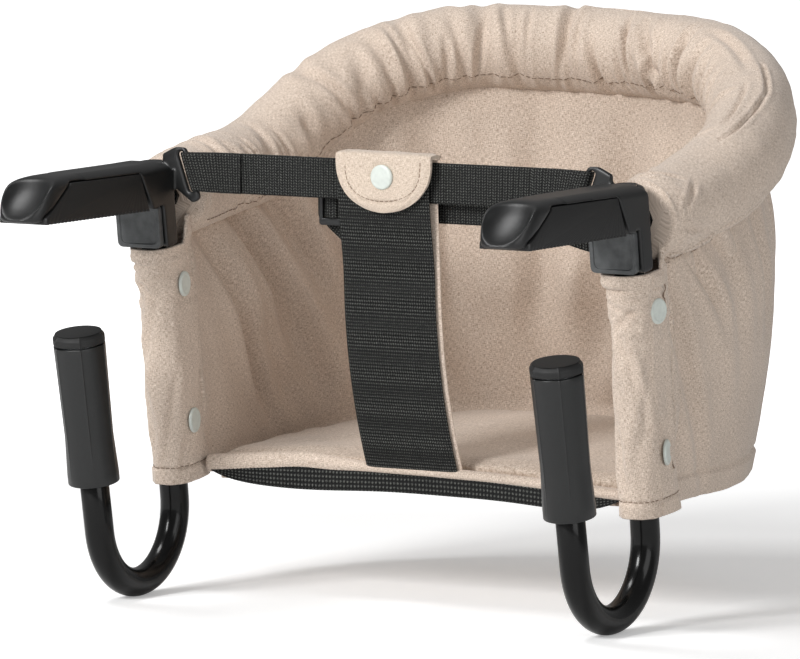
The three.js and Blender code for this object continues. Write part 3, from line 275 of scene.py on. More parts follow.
def leg_frame(side):
    """From a hook's front leg to the object, in metres: z runs up the leg from the bend."""
    end = Vector((0, -bend_radius * (1 - math.cos(bend_angle)),
                  -bend_drop - bend_radius * math.sin(bend_angle)))
    return (upright_frame(side) @ Matrix.Translation(end * MM)
            @ Matrix.Rotation(spread_angle, 4, "X"))


def turned(profile, segments, closed=True):
    """A piece turned about z from a profile of (radius, height) in millimetres."""
    bm = bmesh.new()
    corners = [bm.verts.new((radius * MM, 0, height * MM)) for radius, height in profile]
    pairs = list(zip(corners, corners[1:] + corners[:1] if closed else corners[1:]))
    edges = [bm.edges.new(pair) for pair in pairs]
    bmesh.ops.spin(bm, geom=corners + edges, cent=(0, 0, 0), axis=(0, 0, 1), angle=2 * math.pi,
                   steps=segments, use_merge=True)
    bmesh.ops.remove_doubles(bm, verts=bm.verts, dist=0.004 * MM)
    bmesh.ops.recalc_face_normals(bm, faces=bm.faces)
    return bm


def soften(bm, width, angle=30, segments=3):
    """Rounds every edge that is sharper than an angle."""
    sharp = [e for e in bm.edges if len(e.link_faces) == 2
             and e.calc_face_angle(0) > math.radians(angle)]
    bmesh.ops.bevel(bm, geom=sharp, offset=width * MM, segments=segments, profile=0.5,
                    affect="EDGES", material=-1, clamp_overlap=True)


# Satin nylon: charcoal, injection moulded against a spark-eroded tool, which leaves a fine even grain
satin_nylon = grained("nylon_moulded_satin", "#101111", "#181919", pitch=0.7, depth=0.03, strength=0.35,
                      Roughness=0.33, IOR=1.5, Specular_IOR_Level=0.5)
# Natural rubber: the jack's cap and the arm's grip are black and dull
black_rubber = grained("rubber_moulded_black", "#0d0d0d", "#141414", pitch=1.1, depth=0.04, strength=0.3,
                       Roughness=0.62, IOR=1.5)

jack_top = jack_offset + jack_length
seam_height = jack_top - jack_cap_height
mouth_height = seam_height - lip_height
lip_radius = jack_bore + lip_wall
for side, word in SIDES:
    bm = turned([
        (jack_bore, jack_offset), (jack_foot_radius, jack_offset),
        (jack_top_radius, seam_height - cap_gap), (lip_radius, seam_height - cap_gap),
        (lip_radius, mouth_height), (jack_bore, mouth_height)], jack_segments)
    soften(bm, jack_edge)
    rings = jack_offset + np.linspace(0.15, 0.95, 17) * (seam_height - jack_offset)
    for height in [jack_offset + 6, *rings]:
        bmesh.ops.bisect_plane(bm, geom=bm.verts[:] + bm.edges[:] + bm.faces[:], dist=0.001 * MM,
                               plane_co=(0, 0, height * MM), plane_no=(0, 0, 1))
    fluted(bm, lambda height: min(1, max(0, (height - jack_offset - 5) / 25)))
    bm.transform(leg_frame(side))
    sleeve = made(f"{word}_jack_hand_grip", bm, satin_nylon)
    stands_for(sleeve, f"{word}_jack_grip", "black_nylon", f"{word}_jack_sleeve")

    bm = turned([(0, seam_height + cap_gap / 2), (jack_top_radius, seam_height + cap_gap / 2),
                 (jack_top_radius, jack_top - cap_edge), (jack_top_radius - cap_edge, jack_top),
                 (0, jack_top)], jack_segments, closed=False)
    soften(bm, 0.7)
    fluted(bm, lambda height: 1)
    bm.transform(leg_frame(side))
    cap = made(f"{word}_jack_cap_rubber", bm, black_rubber)
    stands_for(cap, f"{word}_jack_foot", "black_rubber", f"{word}_jack_cap")


# Arms: one nylon moulding a side, with a spoon-shaped front, the bracket over the tube and the tab for
# the waist strap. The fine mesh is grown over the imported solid, so that every edge has its soft round.
arm_voxel = 0.72
arm_smoothing = 7
spoon_start = -84
spoon_smoothing = 45


def opened(mesh):
    """A bmesh of a mesh."""
    bm = bmesh.new()
    bm.from_mesh(mesh)
    return bm


def reshaped(obj, bm):
    """The object takes a bmesh as its smooth mesh."""
    bm.to_mesh(obj.data)
    bm.free()
    obj.data.shade_smooth()


def merged_copy(node):
    """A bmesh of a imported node, with its loose triangles joined."""
    bm = opened(frame["nodes"][node].data)
    bmesh.ops.remove_doubles(bm, verts=bm.verts, dist=0.004 * MM)
    return bm


def moulding(name, node, body, slot, material, edge, segments=2):
    """A packed moulding whose edges are rounded by a radius stands for its node."""
    bm = merged_copy(node)
    bmesh.ops.dissolve_limit(bm, angle_limit=math.radians(0.5), verts=bm.verts, edges=bm.edges)
    soften(bm, edge, angle=28, segments=segments)
    stands_for(made(name, bm, material), body, slot, node)


def baked(obj):
    """The object's mesh with its modifiers applied."""
    mesh = bpy.data.meshes.new_from_object(
        obj.evaluated_get(bpy.context.evaluated_depsgraph_get()))
    old = obj.data
    obj.modifiers.clear()
    obj.data = mesh
    bpy.data.meshes.remove(old)
    return mesh


def remeshed(obj, voxel):
    """Grows an even mesh of a voxel size over the object's solid."""
    modify(obj, "REMESH", mode="VOXEL", voxel_size=voxel * MM, use_smooth_shade=True)
    baked(obj)


def evened(bm, verts, rounds):
    """Moves vertices halfway to their neighbours' middle, round after round."""
    for _ in range(rounds):
        bmesh.ops.smooth_vert(bm, verts=verts, factor=0.5, use_axis_x=True, use_axis_y=True,
                              use_axis_z=True)


# Arm nylon: the same charcoal nylon
arm_nylon = grained("nylon_moulded_arm", "#0c0c0d", "#131414", pitch=0.8, depth=0.03, strength=0.3,
                    Roughness=0.4, IOR=1.5, Specular_IOR_Level=0.5)
# Grey thermoplastic rubber: the pads that meet the table's edge, pressed on to the brackets
pad_rubber = grained("rubber_moulded_grey", "#3b3d3e", "#505253", pitch=6, depth=0.05, strength=0.25,
                     Roughness=0.5, IOR=1.5)

for side, word in SIDES:
    arm = made(f"{word}_arm_moulding", merged_copy(f"{word}_arm_shell"), arm_nylon)
    remeshed(arm, arm_voxel)
    bm = opened(arm.data)
    evened(bm, bm.verts, arm_smoothing)
    evened(bm, [v for v in bm.verts if v.co.y < spoon_start * MM], spoon_smoothing)
    reshaped(arm, bm)
    stands_for(arm, f"{word}_arm", "black_nylon", f"{word}_arm_shell")
    moulding(f"{word}_arm_rubber", f"{word}_arm_grip", f"{word}_arm", "black_rubber", black_rubber, 0.45)
for side, word in SIDES:
    moulding(f"{word}_edge_cushion", f"{word}_edge_pad", f"{word}_arm", "grey_rubber", pad_rubber, 0.5,
             segments=3)


# Small steel and plastic pieces that stay as packed: zinc-plated screws, rods, nuts and eyes have a
# bright bluish plate with a faint bloom, and the washers are white acetal.
zinc_plate = grained("zinc_plate_bright", "#9fa3a6", "#c2c5c7", pitch=2.5, depth=0.02, strength=0.2,
                     Metallic=1.0, Roughness=0.34)
white_acetal = grained("acetal_moulded_white", "#c6ccc6", "#d2d8d1", pitch=3, depth=0.02, strength=0.15,
                       Roughness=0.32, IOR=1.48)


def finished(node, material):
    """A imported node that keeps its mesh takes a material."""
    if not frame["nodes"][node].material_slots:
        frame["nodes"][node].data.materials.append(material)
    for entry in frame["nodes"][node].material_slots:
        entry.material = material


for side, word in SIDES:
    for name in ("hoop_eye", "bracket_screw", "jack_nut", "jack_screw", "jack_swivel"):
        finished(f"{word}_{name}", zinc_plate)
    finished(f"{word}_eye_washer", white_acetal)
finished("hoop_tube", powder_coat)


# Hoop bolster: foam round the steel hoop in a sleeve of melange cloth. Its cover is gathered on to the
# seam with the lining, so soft puckers run round it, and each end closes in a cuff at the bracket.
hoop_radius = 174
hoop_centre = 120
hoop_front_height = 5
hoop_rise = 79
hoop_rise_start = 3
hoop_rise_length = 300
bolster_radius = 27
cuff_start = 14.5
cuff_radius = 25
cuff_length = 14
fold_room = 8
hoop_sag = 15
hoop_sag_place = 130
hoop_sag_width = 50
hoop_lift = 2
hoop_lean = 0.025
side_angle = math.atan2(hoop_radius - half_span, hoop_centre - axis_setback)
side_length = (hoop_centre - axis_setback) / math.cos(side_angle)
hoop_length = 2 * side_length + math.pi * hoop_radius


def smooth(t):
    """An even start and stop between 0 and 1."""
    t = np.clip(t, 0, 1)
    return t * t * (3 - 2 * t)


def mix(a, b, t):
    """A value between two others."""
    return a + (b - a) * t


def ridge(distance, width):
    """A round ridge, 1 high along its line."""
    return np.exp(-(distance / width) ** 2)


def hoop_at(along):
    """The hoop's line, as points and outward directions, at distances along it."""
    along = np.asarray(along, float)
    reach = np.minimum(along, hoop_length - along)
    side = np.where(along < hoop_length / 2, 1.0, -1.0)
    turn = (reach - side_length) / hoop_radius
    straight = reach < side_length
    x = np.where(straight, mix(half_span, hoop_radius, reach / side_length),
                 hoop_radius * np.cos(turn))
    y = np.where(straight, mix(axis_setback, hoop_centre, reach / side_length),
                 hoop_centre + hoop_radius * np.sin(turn))
    z = hoop_front_height + hoop_rise * smooth((reach - hoop_rise_start) / hoop_rise_length)
    z -= np.where(side < 0, hoop_sag, 0) * ridge(reach - hoop_sag_place, hoop_sag_width)
    z += (hoop_lift - hoop_lean * side * x) * smooth(reach / hoop_rise_length)
    out_x = np.where(straight, math.cos(side_angle), np.cos(turn))
    out_y = np.where(straight, -math.sin(side_angle), np.sin(turn))
    return (np.stack([side * x, y, z], -1),
            np.stack([side * out_x, out_y, np.zeros_like(out_x)], -1))


def noise(a, b, pitch_a, pitch_b, seed):
    """Even random waves of about -1 to 1 over cloth, with a pitch each way."""
    total = np.zeros(np.broadcast(a, b).shape)
    for octave in (0, 1):
        table = np.random.default_rng(seed + octave).uniform(-1, 1, (64, 64))
        u = np.asarray(a, float) / pitch_a * 2 ** octave
        v = np.asarray(b, float) / pitch_b * 2 ** octave
        iu, iv = np.floor(u).astype(int), np.floor(v).astype(int)
        fu, fv = smooth(u - iu), smooth(v - iv)
        corner = [table[(iu + du) % 64, (iv + dv) % 64] for du in (0, 1) for dv in (0, 1)]
        total = total + 0.5 ** octave * mix(
            mix(corner[0], corner[1], fv), mix(corner[2], corner[3], fv), fu)
    return total


def creases(a, b, lines):
    """Soft grooves along lines (a0, b0, a1, b1, depth, width), with a swell on each side."""
    total = np.zeros(np.broadcast(a, b).shape)
    for a0, b0, a1, b1, depth, width in lines:
        run_a, run_b = a1 - a0, b1 - b0
        length = math.hypot(run_a, run_b)
        t = ((a - a0) * run_a + (b - b0) * run_b) / length ** 2
        d = ((a - a0) * run_b - (b - b0) * run_a) / length / width
        beyond = (np.clip(-t, 0, None) + np.clip(t - 1, 0, None)) * length / (2.5 * width)
        fade = ridge(beyond, 1) * smooth(1.25 - np.abs(2 * np.clip(t, 0, 1) - 1) * 0.75)
        total = total + depth * fade * (0.45 * ridge(np.abs(d) - 1.9, 0.9) - ridge(d, 1))
    return total


def unit(vectors):
    """Vectors at a length of 1."""
    return vectors / np.maximum(np.linalg.norm(vectors, axis=-1, keepdims=True), 1e-9)


def moved(places, matrix):
    """Places in millimetres, taken through a matrix in metres."""
    matrix = np.array(matrix)
    return places @ matrix[:3, :3].T + matrix[:3, 3] / MM


def coordinates(mesh):
    """The places of a mesh's vertices, in metres."""
    flat = np.empty(len(mesh.vertices) * 3)
    mesh.vertices.foreach_get("co", flat)
    return flat.reshape(-1, 3)


def facing(places):
    """The direction that each place of a grid faces."""
    across, down = np.gradient(places, axis=1), np.gradient(places, axis=0)
    return unit(np.cross(across, down))


def lay_cloth(name, places, material, relief=None, around=False, caps=False):
    """A skin over a grid of places. Its UVs are metres of cloth, and it can close on itself."""
    if relief is not None:
        normal = facing(places)
        if around:
            normal = facing(np.concatenate([places[-3:-1], places, places[1:3]]))[2:-2]
        places = places + relief[..., None] * normal
    rows, columns = places.shape[:2]
    bm = bmesh.new()
    bmesh.ops.create_grid(bm, x_segments=columns - 1, y_segments=rows - 1, size=1.0)
    mesh = bpy.data.meshes.new("grid")
    bm.to_mesh(mesh)
    bm.free()
    flat = coordinates(mesh)
    column = np.rint((flat[:, 0] + 1) / 2 * (columns - 1)).astype(int)
    row = np.rint((flat[:, 1] + 1) / 2 * (rows - 1)).astype(int)
    mesh.vertices.foreach_set("co", (places[row, column] * MM).ravel())
    along = np.linalg.norm(np.diff(places, axis=1), axis=-1).mean(0)
    down = np.linalg.norm(np.diff(places, axis=0), axis=-1).mean(1)
    u = np.concatenate([[0], np.cumsum(along)]) * MM
    v = np.concatenate([[0], np.cumsum(down)]) * MM
    loops = np.empty(len(mesh.loops), int)
    mesh.loops.foreach_get("vertex_index", loops)
    layer = mesh.uv_layers.new(name="cloth")
    layer.uv.foreach_set(
        "vector", np.stack([u[column[loops]], v[row[loops]]], -1).astype(np.float32).ravel())
    bm = opened(mesh)
    bpy.data.meshes.remove(mesh)
    if around:
        bmesh.ops.remove_doubles(bm, verts=bm.verts, dist=0.01 * MM)
    if caps:
        bmesh.ops.holes_fill(bm, edges=bm.edges, sides=0)
    return made(name, bm, material, sharp=180, closed=around)


def melange_cloth(name, dark, middle, light, on_object=False):
    """Melange cloth: slubs of darker and paler fibre run both ways through a plain weave of 0.4 mm
    threads. It lies on the laid cloth's own UVs, or on the object's axes."""
    material, tree, shader = new_material(
        name, Roughness=0.9, IOR=1.45, Specular_IOR_Level=0.25, Sheen_Weight=0.25,
        Sheen_Roughness=0.5)
    if on_object:
        laid = add(tree, "TexCoord").outputs["Object"]
    else:
        laid = add(tree, "UVMap", uv_map="cloth").outputs[0]
    slubs = []
    for across, length, depth in ((0.4, 2.4, 2.4), (2.4, 0.4, 2.4), (0.5, 0.5, 0.5)):
        mapped = add(tree, "Mapping", {
            "Vector": laid, "Scale": (1 / (across * MM), 1 / (length * MM), 1 / (depth * MM))})
        slubs.append(add(tree, "TexNoise", {
            "Vector": mapped.outputs[0], "Scale": 1.0, "Detail": 1.0}).outputs[0])
    crossed = add(tree, "Mix", {0: 0.5, 2: slubs[0], 3: slubs[1]}, data_type="FLOAT")
    fleck = add(tree, "Mix", {0: 0.3, 2: crossed.outputs[0], 3: slubs[2]}, data_type="FLOAT").outputs[0]
    ramp = shades(tree, shader, fleck, dark, light, 0.35, 0.65)
    ramp.color_ramp.elements.new(0.5).color = linear(middle)
    drift = add(tree, "TexNoise", {"Vector": laid, "Scale": 1 / (45 * MM), "Detail": 2.0})
    tone = add(tree, "MapRange", {0: drift.outputs[0], 1: 0.3, 2: 0.7, 3: 0.95, 4: 1.04})
    tinted = add(tree, "Mix", {0: 1.0, 6: ramp.outputs[0], 7: tone.outputs[0]},
                 data_type="RGBA", blend_type="MULTIPLY")
    tree.links.new(tinted.outputs[2], shader.inputs["Base Color"])
    bumps(tree, shader, fleck, strength=0.6, depth=0.2)
    return material


def distances(line):
    """How far each point of a line lies along it."""
    return np.concatenate([[0], np.cumsum(np.linalg.norm(np.diff(line, axis=0), axis=1))])


def along_line(places, steps, line):
    """A line's values at distances along it, from those at its own steps."""
    return np.stack([np.interp(places, steps, column) for column in line.T], -1)


def sewn(name, line, normal, body=SEAT, stitch=2.6, gap=1.3, thickness=0.55):
    """A row of thread stitches along a line of places, lying on the cloth."""
    steps = distances(line)
    bm = bmesh.new()
    for i in range(int(steps[-1] / (stitch + gap))):
        start, end = (along_line(d, steps, line) for d in (
            (stitch + gap) * i, (stitch + gap) * i + stitch))
        lift = along_line((stitch + gap) * i, steps, normal)
        middle = Vector((start + end) / 2 + lift * thickness * 0.25)
        run = Vector(end - start)
        place = Matrix.Translation(middle * MM) @ run.to_track_quat("Z", "Y").to_matrix().to_4x4()
        bmesh.ops.create_cone(bm, cap_ends=True, segments=6, radius1=thickness / 2 * MM,
                              radius2=thickness / 2 * MM, depth=run.length * MM, matrix=place)
    stands_for(made(name, bm, thread), body, CLOTH)


beige_cloth = melange_cloth("melange_cloth_beige", "#8f7d6e", "#cab8a8", "#ecdfd3")
# Polyester sewing thread, a shade darker than the cloth, with a slight shine
thread = grained("polyester_thread_beige", "#6f5c4c", "#8a7563", pitch=0.5, depth=0.05, strength=0.4,
                 Roughness=0.55, IOR=1.5)

bolster_columns, bolster_rows = 560, 113
along = np.linspace(cuff_start, hoop_length - cuff_start, bolster_columns)
around = np.radians(np.linspace(-80, 280, bolster_rows))
points, out = hoop_at(along)
run = unit(np.gradient(points, axis=0))
rise = np.cross(out, run)
rise *= np.sign(rise[:, 2:])
reach = np.minimum(along, hoop_length - along)
full = mix(cuff_radius, bolster_radius, smooth((reach - cuff_start - 1.5) / cuff_length))
radius = full * mix(0.8, 1.0, smooth((reach - cuff_start) / 3.5 + 0.3))
A, T = np.meshgrid(along, np.degrees(around))
from_end = np.minimum(A, hoop_length - A)
per_degree = math.radians(bolster_radius)
girth = T * per_degree
pucker_lines = [
    (350, 126, 341, 196, 2, 2.2), (330, 140, 302, 235, 2.6, 4.5), (281, 150, 277, 215, 3.4, 4),
    (400, 95, 393, 222, 2.2, 4), (461, 95, 458, 222, 1.8, 5), (511, 105, 515, 228, 1.8, 5),
    (436, 150, 430, 232, 1.6, 3.5), (374, 170, 366, 235, 1.8, 3), (316, 175, 322, 238, 1.5, 3),
    (258, 150, 262, 225, 2, 4), (240, 160, 232, 230, 1.6, 3.5), (176, 97, 124, 93, 1.3, 1.5),
    (205, 77, 171, 67, 1.2, 1.4), (171, 67, 102, 74, 1.2, 1.4), (262, 113, 205, 100, 1.3, 3),
    (27, -56, 62, -44, 2, 2.4), (62, -44, 135, -40, 1.4, 3), (34, -70, 66, -60, 1.4, 2.2),
    (24, 96, 40, 60, 1, 1.8), (30, 20, 46, 40, 0.9, 2), (24, -10, 44, -22, 1, 2),
    (40, 110, 58, 150, 1.2, 3), (399, 87, 352, 92, 0.8, 2), (548, 150, 560, 226, 1.4, 5),
    (600, 150, 590, 222, 1.3, 5), (640, 130, 650, 215, 1.2, 5), (690, 80, 700, 150, 1.2, 4),
    (715, 60, 705, 20, 1, 2.5), (722, -20, 700, -50, 1.4, 2.6), (486, 170, 492, 236, 1.4, 3),
    (534, 120, 529, 190, 1, 4), (570, 60, 575, 120, 0.9, 4), (480, 40, 470, 100, 0.9, 4),
    (220, -20, 150, -30, 1.6, 4), (300, 0, 240, -15, 1.3, 4), (420, -10, 350, -25, 1.4, 4),
    (520, -20, 450, -12, 1.3, 4), (620, -30, 550, -16, 1.5, 4)]
relief = creases(A, girth, [
    (a0, t0 * per_degree, a1, t1 * per_degree, 2.1 * depth, width)
    for a0, t0, a1, t1, depth, width in pucker_lines])
gathers = np.random.default_rng(7)
seam_angle = 232
under_seam = -60
gather_pitch = 14.0
seam_girth = seam_angle * per_degree
for place in np.arange(56, hoop_length - 56, gather_pitch):
    place += gathers.uniform(-6, 6)
    lean, depth, width, length = (gathers.uniform(low, high) for low, high in (
        (-0.25, 0.25), (1.0, 3.4), (1.8, 3.6), (20, 55)))
    relief += creases(A, girth, [
        (place, seam_girth, place + lean * length, seam_girth - length, depth, width)])
relief += 0.9 * noise(A, girth, 46, 30, 11) + 0.28 * noise(A, girth, 9, 16, 5)
relief += smooth((45 - from_end) / 30) * (1.5 * np.abs(noise(A, girth, 7, 40, 23)) - 0.5)
relief += 2.2 * smooth((A - 50) / 50) * smooth((190 - A) / 50) * ridge(T + 30, 45)
relief -= 1.5 * ridge(girth - under_seam * per_degree, 1.2)
relief *= smooth((from_end - cuff_start) / 6)
places = (points[None] + radius[None, :, None] * (
    np.cos(around)[:, None, None] * out[None] + np.sin(around)[:, None, None] * rise[None]))
inner_side = smooth(0.2 - np.cos(around))[:, None] * (1 - smooth((reach - cuff_start) / 18))[None]
away_from_end = run * np.where(along < hoop_length / 2, 1, -1)[:, None]
places = places + fold_room * inner_side[..., None] * away_from_end[None]
places[-1] = places[0]
relief[-1] = relief[0]
blend_rows = 6
for i in range(blend_rows):
    share = 0.5 * (1 - i / blend_rows)
    low, high = relief[i].copy(), relief[-1 - i].copy()
    relief[i], relief[-1 - i] = mix(low, high, share), mix(high, low, share)
bolster = lay_cloth("hoop_bolster_cover", places, beige_cloth, relief, around=True, caps=True)
stands_for(bolster, SEAT, CLOTH, "hoop_bolster")
for name, angle in (("under", under_seam - 5), ("inner", seam_angle - 14)):
    row = int(np.argmin(np.abs(np.degrees(around) - angle)))
    away = unit(places[row] - points)
    line = places[row] + (relief[row][:, None] + 0.25) * away
    sewn(f"bolster_{name}_stitches", line[reach > 24], away[reach > 24], stitch=3.0, gap=1.6)


# Outer cover: one sheet of the same cloth, sewn to the bolster's underside and hung round the back down
# to a doubled hem with a row of stitches. Its front edges turn in to the sleeves on the uprights.
sleeve_reach = 25
wall_tuck = 2.5
cover_top_drop = 17
cover_top_outset = 6
cover_foot_outset = -3
cover_bulge = 5
cover_belly = 10
cover_thickness = 1.6
cover_seam = 9
hem_height = 14.5
hem_front_drop = 167
hem_rear_drop = 160
edge_outset = 5
edge_run = 44


def wall_start(height):
    """Where a wall starts along the hoop at a height, just behind the leaning sleeve."""
    rear = (sleeve_reach - wall_tuck) / math.cos(lean_angle) - height * math.tan(lean_angle)
    return rear / math.cos(side_angle)


def cloth_wall(columns, rows, top_of, foot_of, outset_of):
    """Places of a wall that follows the hoop from right to left, and how far along and down each is."""
    share = np.linspace(0, 1, columns)
    rough, _ = hoop_at(mix(wall_start(0), hoop_length - wall_start(0), share))
    rear = np.clip((rough[:, 1] - hoop_centre) / hoop_radius, 0, 1)
    grid = np.zeros((rows, columns, 3))
    for i, down in enumerate(1 - (1 - np.linspace(0, 1, rows)) ** 1.25):
        height = mix(rough[:, 2] - top_of, foot_of(rear), down)
        start = wall_start(height)
        place = mix(start, hoop_length - start, share)
        point, out = hoop_at(place)
        from_edge = np.minimum(place, hoop_length - place) - start
        grid[i] = point + outset_of(down, rear, from_edge)[:, None] * out
        grid[i, :, 2] = height
    return grid, share[None] * (hoop_length - 2 * wall_start(0)), -grid[..., 2]


cover_columns, cover_rows = 320, 118
places, run, down = cloth_wall(
    cover_columns, cover_rows, cover_top_drop, lambda rear: -mix(hem_front_drop, hem_rear_drop, rear),
    lambda down, rear, edge: mix(
        edge_outset, mix(cover_top_outset, cover_foot_outset, down)
        + cover_bulge * math.sin(math.pi * down) + cover_belly * smooth((down - 0.05) / 0.3) * (1 - down),
        smooth(edge / edge_run)))
level = places[..., 2]
above_hem = level[-1:] + hem_height
under_bolster = level[:1] - cover_seam
relief = -1.1 * ridge(level - above_hem, 1.3)
relief += 1.3 * smooth((above_hem - level) / 2.4)
relief += 2.4 * creases(run, down, [
    (6, 20, 40, 150, 1.6, 6), (24, -5, 60, 60, 1.8, 5), (70, 0, 84, 90, 1.2, 8),
    (120, -20, 128, 60, 1.4, 8), (175, -40, 168, 50, 1.5, 8), (230, -50, 236, 70, 1.6, 9),
    (290, -60, 282, 60, 1.5, 9), (345, -60, 352, 90, 1.6, 10), (410, -60, 402, 60, 1.5, 9),
    (470, -50, 478, 60, 1.6, 9), (530, -30, 522, 80, 1.5, 8), (590, -10, 600, 80, 1.5, 8),
    (655, 0, 640, 90, 1.6, 6), (682, 20, 668, 140, 1.6, 6)])
relief -= 1.6 * ridge(level - under_bolster, 1.2)
relief += 2.8 * noise(run, down, 70, 90, 31) * smooth((down + 40) / 60)
relief += 0.4 * noise(run, down, 14, 22, 33)
outer_cover = lay_cloth("outer_cover_cloth", places[:, ::-1], beige_cloth, relief[:, ::-1])
thicken(outer_cover, cover_thickness)
stands_for(outer_cover, SEAT, CLOTH, "outer_cover")
away = -facing(places)
for name, column, line, rows_below, lift, drop in (
        ("top", 40, under_bolster, 2, 0.4, 0), ("hem", cover_columns // 2, above_hem, 0, 0.2, 1.6)):
    row = int(np.argmin(np.abs(level[:, column] - line[0, column]))) + rows_below
    sewn(f"outer_cover_{name}_stitches", places[row] + away[row] * lift - (0, 0, drop), away[row])


# Inner lining: two layers of cloth with thin foam between, sewn to the bolster's inner side and to the
# seat. It is slack, so soft folds fall from the corners of the leg openings.
lining_thickness = 4
lining_top_drop = 12
lining_top_outset = -3
lining_belly = 9
lining_foot_outset = -17
lining_foot_drop = 167
lining_turn_in = 15
lining_foot_rise = 14
lining_edge_outset = -11.5
lining_edge_run = 30
places, run, down = cloth_wall(
    320, 110, lining_top_drop, lambda rear: -lining_foot_drop + lining_foot_rise * rear,
    lambda down, rear, edge: mix(
        lining_edge_outset, mix(lining_top_outset - 2 * rear, lining_foot_outset - 5 * rear, down)
        - lining_belly * smooth((down - 0.06) / 0.5) * (1 - down)
        - lining_turn_in * smooth((down - 0.93) / 0.07),
        smooth(edge / lining_edge_run)))
relief = 3.6 * creases(run, down, [
    (20, 0, 90, 110, 2.2, 9), (45, -20, 120, 60, 2, 9), (90, 20, 150, 140, 1.8, 10),
    (170, -20, 190, 120, 1.6, 12), (250, -40, 240, 110, 1.6, 12), (330, -40, 345, 100, 1.8, 14),
    (400, -40, 395, 110, 1.6, 12), (470, -20, 455, 110, 1.8, 12), (640, 0, 575, 110, 2.6, 9),
    (610, -20, 540, 90, 2.2, 9), (560, -30, 520, 110, 2, 11), (670, 30, 620, 140, 2.2, 7)])
relief += 5.5 * noise(run, down, 46, 62, 41) * smooth((down + 45) / 60)
relief += 0.5 * noise(run, down, 12, 20, 43)
relief *= mix(0.15, 1, smooth((down[-1:] - down) / 38))
inner_lining = lay_cloth("inner_lining_cloth", places, beige_cloth, relief)
thicken(inner_lining, lining_thickness)
stands_for(inner_lining, SEAT, CLOTH, "inner_lining")


# Leg sleeves: the cover's cloth wrapped round each upright and closed behind it with two press studs,
# with a stitched band at the top and a turned hem at the foot. A flap of it laps over the outer cover.
sleeve_foot = 174.5
sleeve_top = 24.6
sleeve_radius = 13
sleeve_mean_radius = 17
sleeve_lap = 7
lap_place = 21
sleeve_lap_top = 46
sleeve_lap_foot = 138
sleeve_seam = 35
sleeve_hem = 10
stud_setback = 8
stud_drops = {"upper": 50, "lower": 137}
stud_turn = {("upper", True): 0.14, ("upper", False): -0.17,
             ("lower", True): -0.3, ("lower", False): -0.17}
sleeve_columns, sleeve_rows = 220, 190


def press_cap(name, profile, matrix, body, node):
    """The turned cap of a press stud, under a matrix in metres, stands for a node."""
    bm = turned(profile, 64, closed=False)
    soften(bm, 0.18, angle=20, segments=2)
    bm.transform(matrix)
    stands_for(made(name, bm, white_acetal), body, "white_plastic", node)


